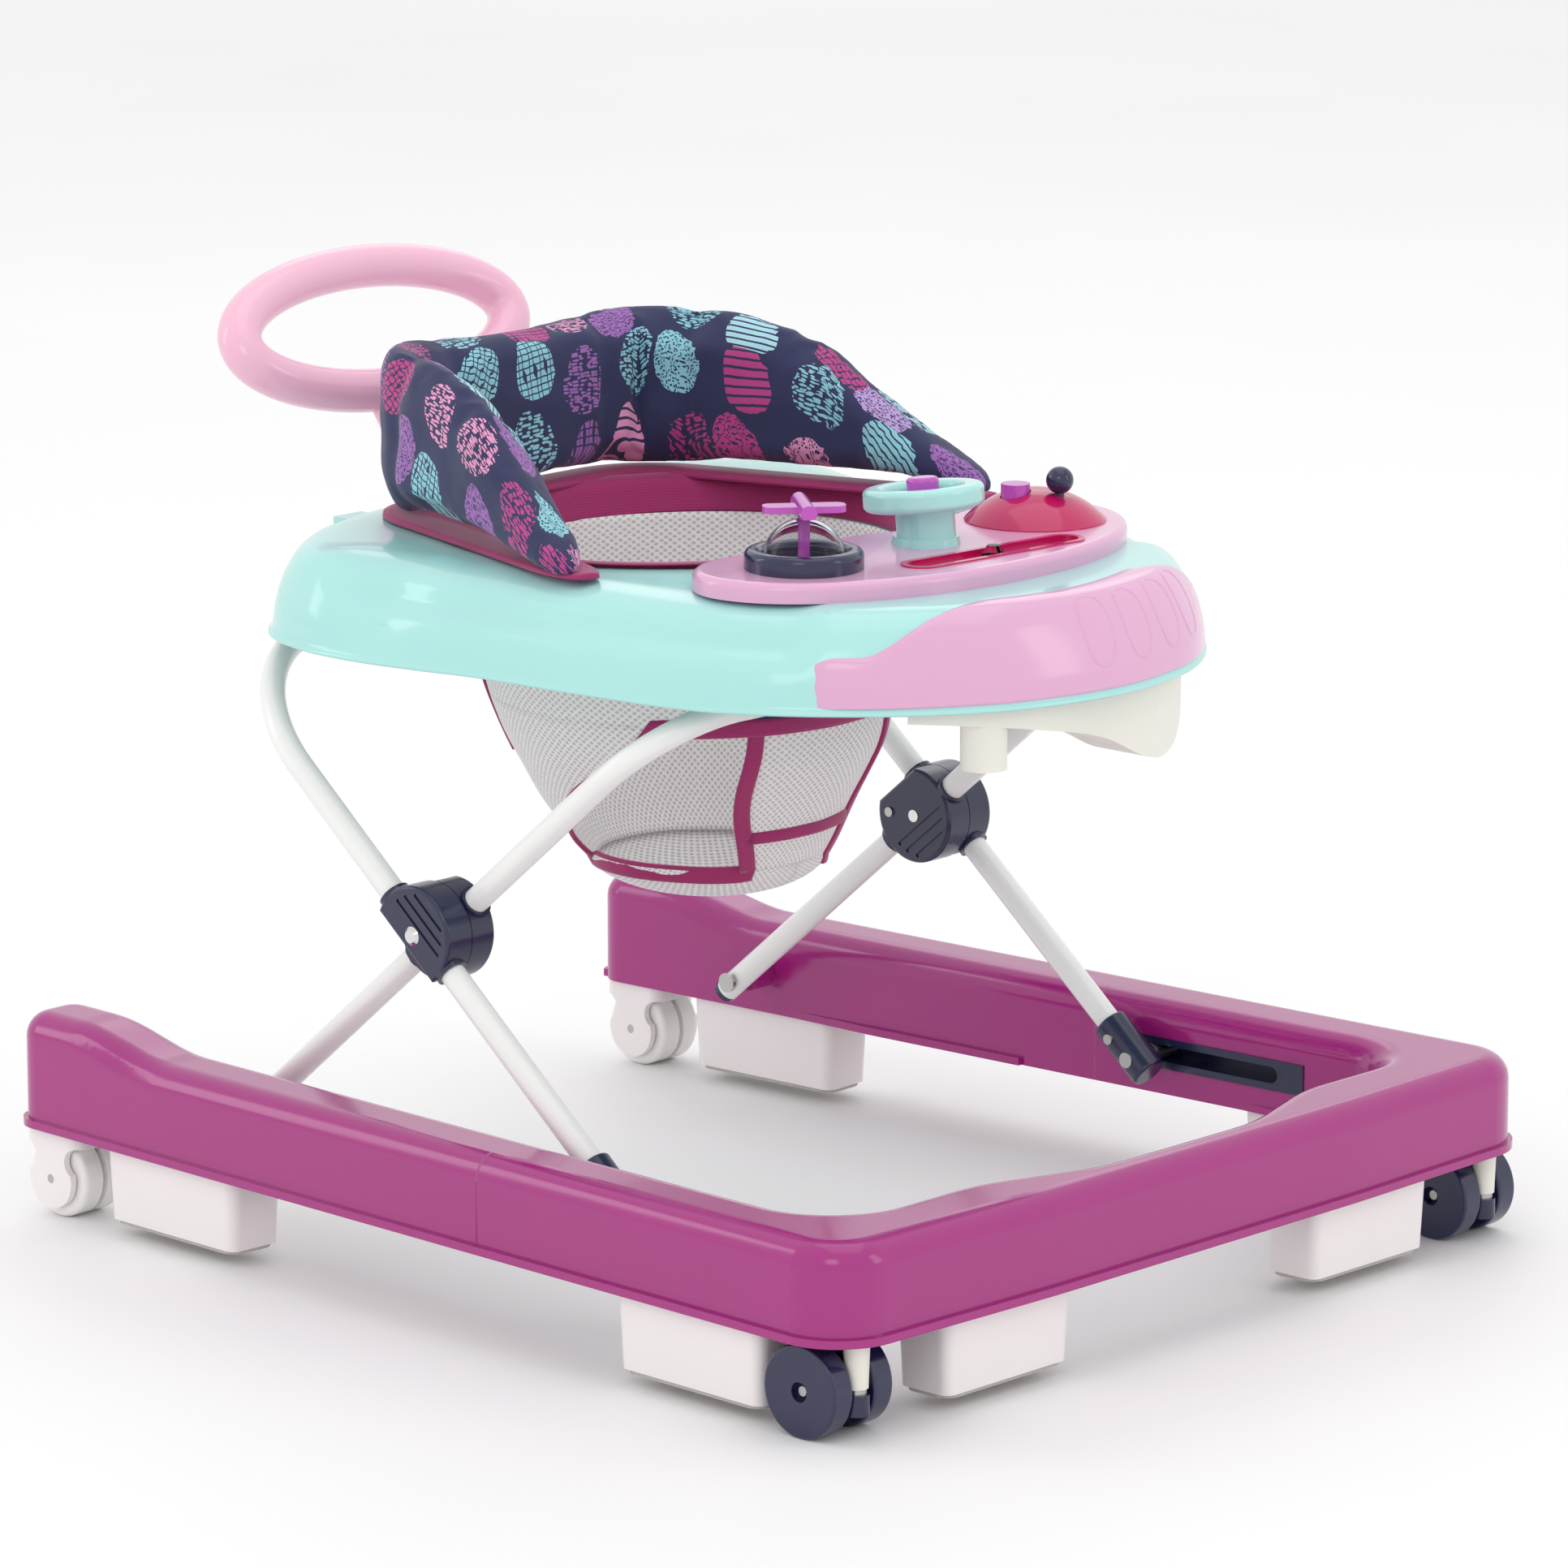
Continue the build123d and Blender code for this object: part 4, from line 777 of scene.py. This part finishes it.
def make_pad_flange():
    """The magenta cloth edge that the pad is sewn to, lying on the tray."""
    path, normals, _ = pad_path(140)
    points = [Vector((p.x + n.x * 5, p.y + n.y * 5, 447.0)) for p, n in zip(path, normals)]
    section = [(-17, -1.5), (-16, 1.2), (0, 2.0), (13, 1.6), (17.5, 0.8), (18, -1.5), (0, -1.8)]
    flange = sweep_section("seat_pad_flange", points, section, [Vector((0, 0, 1))] * len(points), TAPE)
    ring, rounded = len(section), 9
    for i, spot in enumerate(points):
        from_end = min(i, len(points) - 1 - i)
        narrow = math.sqrt(1 - (1 - min(1.0, (from_end + 0.6) / rounded)) ** 2)
        for vertex in flange.data.vertices[i * ring:(i + 1) * ring]:
            vertex.co.x = spot.x * MM + (vertex.co.x - spot.x * MM) * narrow
            vertex.co.y = spot.y * MM + (vertex.co.y - spot.y * MM) * narrow
    return flange


# ---------------------------------------------------------------- sling

def sling_size(z):
    """Centre x and half axes of the bag at a height, straight between its sections."""
    steps = SLING_STEPS
    if z >= steps[0][0]:
        return steps[0][1:]
    for (z0, c0, a0, b0), (z1, c1, a1, b1) in zip(steps, steps[1:]):
        if z >= z1:
            t = (z0 - z) / (z0 - z1)
            return tuple(p + (q - p) * t for p, q in zip((c0, a0, b0), (c1, a1, b1)))
    return steps[-1][1:]


def sling_point(theta, z, out=0.0):
    """A point on the bag at an angle from straight ahead, in degrees, and a height."""
    sizes = [sling_size(z + d) for d in (-9, -4.5, 0, 4.5, 9)]
    centre, half_x, half_y = (sum(values) / 5 for values in zip(*sizes))
    angle = math.radians(theta)
    normal = Vector((math.cos(angle) / half_x, math.sin(angle) / half_y, 0)).normalized()
    place = Vector((centre + half_x * math.cos(angle), half_y * math.sin(angle), z))
    return place + normal * out, normal


def hole_edges(z):
    """The angles of a leg hole's front and rear edges at a height."""
    rear = 54.6 + smoothstep(351, 236, z) * 63
    front = 28 + 3 * math.sin(math.pi * smoothstep(236, 340, z))
    return front, rear


LEG_TOP, LEG_BOTTOM = 340.0, 238.0
CUP_TOP = LEG_BOTTOM + 3
CUP_BOTTOM = 213.5


def sheet_grid(name, columns, rows, at, material, thickness=1.2):
    """A cloth panel from a function of two shares, with a little thickness."""
    points, coordinates = [], []
    for i in range(rows + 1):
        for j in range(columns + 1):
            spot, u, v = at(j / columns, i / rows)
            points.append(spot)
            coordinates.append((u * MM, v * MM))
    panel = to_object(name, points, grid_faces(rows + 1, columns + 1, False), material)
    set_uv(panel, coordinates)
    solid = panel.modifiers.new("cloth", "SOLIDIFY")
    solid.thickness = thickness * MM
    solid.offset = 0.0
    return panel


def ripple(theta, z, size=1.5):
    """The soft waves of hanging cloth."""
    return size * noise.noise(Vector((theta * 0.045, z * 0.018, 0.4))) + 0.5 * noise.noise(
        Vector((theta * 0.12, z * 0.03, 5.0)))


def back_panel_at(u, v):
    z = LEG_TOP + 2 + (LEG_BOTTOM - 3 - LEG_TOP - 2) * v
    rear = hole_edges(z)[1]
    theta = rear + (360 - 2 * rear) * u
    spot, _ = sling_point(theta, z, ripple(theta, z))
    return spot, theta * 1.7, z


def upper_band_at(u, v):
    z = 425 + (LEG_TOP - 2 - 425) * v
    theta = 36 + 288 * u
    spot, _ = sling_point(theta, z, ripple(theta, z))
    return spot, theta * 1.7, z


def front_band_at(u, v):
    z = 425 + (LEG_TOP - 6 - 425) * v
    theta = -40 + 80 * u
    spot, _ = sling_point(theta, z, 0.5 + ripple(theta, z))
    return spot, theta * 1.9, z


def front_panel_at(u, v):
    z = LEG_TOP + (LEG_BOTTOM - 3 - LEG_TOP) * v
    front = hole_edges(z)[0]
    theta = -front + 2 * front * u
    spot, _ = sling_point(theta, z, ripple(theta, z, 1.0))
    return spot, theta * 1.7, z


def cup_at(u, v):
    """The bottom of the bag, closing under the seat."""
    theta = 360 * u
    z = CUP_TOP - (CUP_TOP - CUP_BOTTOM) * math.sin(v * math.pi / 2)
    shrink = math.cos(v * math.pi / 2) * 0.98 + 0.02
    rim, _ = sling_point(theta, CUP_TOP)
    middle = Vector((-38, 0, z))
    spot = middle + (Vector((rim.x, rim.y, z)) - middle) * shrink
    reach = 75 * (1 - v * 0.95)
    return spot, reach * math.cos(math.radians(theta)), reach * math.sin(math.radians(theta))


def make_sling():
    """The hanging seat: knitted mesh panels and a printed front band."""
    mesh, cloth = FINISHES["mesh_fabric"], FINISHES["pad_fabric"]
    panels = [sheet_grid("sling_back_panel", 96, 40, back_panel_at, mesh),
              sheet_grid("sling_upper_band", 110, 22, upper_band_at, mesh),
              sheet_grid("sling_front_panel", 24, 36, front_panel_at, mesh),
              sheet_grid("sling_cup", 96, 14, cup_at, mesh),
              sheet_grid("sling_front_band", 40, 20, front_band_at, cloth)]
    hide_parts("seat_sling")
    return panels


def binding(name, angles_and_heights, width=11.0, closed=False, out=0.9):
    """A tape sewn along a line on the bag."""
    path, normals = [], []
    for theta, z in angles_and_heights:
        spot, normal = sling_point(theta, z, out + ripple(theta, z, 1.2))
        path.append(spot)
        normals.append(normal)
    return sweep_section(name, path, tape_section(width, 1.8), normals, TAPE, closed)


def make_bindings():
    """Tapes round the leg holes, along the back seams, across the front panel and under the front band."""
    steps = 40
    for side, sign in (("left", 1), ("right", -1)):
        loop = []
        for i in range(steps + 1):
            z = LEG_TOP + (LEG_BOTTOM - LEG_TOP) * i / steps
            loop.append((sign * hole_edges(z)[1], z))
        low_rear, low_front = hole_edges(LEG_BOTTOM)[1], hole_edges(LEG_BOTTOM)[0]
        loop += [(sign * (low_rear + (low_front - low_rear) * i / 24), LEG_BOTTOM) for i in range(1, 24)]
        for i in range(steps + 1):
            z = LEG_BOTTOM + (LEG_TOP - LEG_BOTTOM) * i / steps
            loop.append((sign * hole_edges(z)[0], z))
        top_front, top_rear = hole_edges(LEG_TOP)
        loop += [(sign * (top_front + (top_rear - top_front) * i / 16), LEG_TOP) for i in range(1, 16)]
        binding(f"leg_binding_{side}", loop, closed=True)
        seam = [(sign * (130 + 5 * math.sin(i / 30 * 3)), 424 - i / 30 * 120) for i in range(31)]
        binding(f"back_seam_{side}", seam, width=10)
    cross = [(-27 + 54 * i / 16, 263 + 2 * i / 16) for i in range(17)]
    binding("front_cross_tape", cross, width=8, out=1.4)
    under = [(-52 + 104 * i / 30, LEG_TOP - 1) for i in range(31)]
    binding("front_band_tape", under, width=11, out=1.6)


def make_collar():
    """The magenta cloth collar that joins the sling to the seat opening's edge."""
    centre_x, half_x, half_y = SEAT_HOLE
    profile = [(424, -8), (432, -4.5), (440, -3.2), (445.6, -1.0), (446.4, 5), (446.2, 11)]
    points = []
    count = 96
    for z, grow in profile:
        for j in range(count):
            angle = 2 * math.pi * j / count
            points.append((centre_x + (half_x + grow) * math.cos(angle), (half_y + grow) * math.sin(angle),
                           z))
    collar = to_object("seat_collar", points, grid_faces(len(profile), count), TAPE)
    solid = collar.modifiers.new("cloth", "SOLIDIFY")
    solid.thickness = 1.4 * MM
    add_subdivision(collar)


# ---------------------------------------------------------------- studio

def make_studio():
    """A plain pale floor and soft light from above, the front and both sides."""
    mesh = bpy.data.meshes.new("studio_floor")
    reach = 14.0
    mesh.from_pydata([(-reach, -reach, 0), (reach, -reach, 0), (reach, reach, 0), (-reach, reach, 0)], [],
                     [(0, 1, 2, 3)])
    floor = bpy.data.objects.new("studio_floor", mesh)
    bpy.context.scene.collection.objects.link(floor)
    material, tree, shader = new_material("matt_paper_sweep")
    place = add(tree, "TexCoord")
    cloud = add(tree, "TexNoise", {"Scale": 1.5, "Detail": 2.0}, {"Vector": place.outputs["Object"]})
    tone = mix_colour(tree, cloud.outputs["Fac"], linear("F4F4F4"), linear("FAFAFA"))
    tree.links.new(tone, shader.inputs["Base Color"])
    shader.inputs["Roughness"].default_value = 0.6
    mesh.materials.append(material)
    world = bpy.data.worlds.new("studio")
    bpy.context.scene.world = world
    world.use_nodes = True
    world.node_tree.nodes["Background"].inputs["Color"].default_value = linear("FFFFFF")
    world.node_tree.nodes["Background"].inputs["Strength"].default_value = 0.96
    softbox("overhead_softbox", (0.2, 0.3, 3.4), (0, 0, 0.2), (3.2, 2.2), 12)
    softbox("key_softbox", (2.2, -3.4, 2.6), (0, 0, 0.25), (1.5, 1.5), 12)
    softbox("left_strip", (-3.0, -2.2, 1.8), (0, 0, 0.3), (0.8, 2.2), 10)
    softbox("right_strip", (3.6, 1.4, 1.8), (0, 0, 0.3), (0.8, 2.2), 8)
    softbox("rear_softbox", (-2.4, 3.0, 2.6), (0, 0, 0.3), (2.0, 1.6), 6)


def softbox(name, place, target, size, power):
    light = bpy.data.lights.new(name, "AREA")
    light.shape = "RECTANGLE"
    light.size, light.size_y = size
    light.energy = power
    holder = bpy.data.objects.new(name, light)
    bpy.context.scene.collection.objects.link(holder)
    holder.location = place
    holder.rotation_euler = (Vector(target) - Vector(place)).to_track_quat("-Z", "Y").to_euler()


def make_camera():
    """A long lens from the front right, a little above the tray."""
    data = bpy.data.cameras.new("camera")
    data.lens = 187.4
    data.sensor_width = 36.0
    camera = bpy.data.objects.new("camera", data)
    bpy.context.scene.collection.objects.link(camera)
    target = Vector((0.012, 0.0127, 0.2853))
    azimuth, elevation, distance = math.radians(42.8), math.radians(12.4), 5.074
    offset = Vector((math.sin(azimuth) * math.cos(elevation), -math.cos(azimuth) * math.cos(elevation),
                     math.sin(elevation)))
    camera.location = target + offset * distance
    camera.rotation_euler = (-offset).to_track_quat("-Z", "Y").to_euler()
    bpy.context.scene.camera = camera


finish_packed_nodes()
make_tray_skin()
make_bumper()
make_bumper_marks()
make_seat_pad()
make_pad_flange()
make_sling()
make_bindings()
make_collar()
make_studio()
make_camera()
bpy.context.scene.view_settings.view_transform = "Standard"
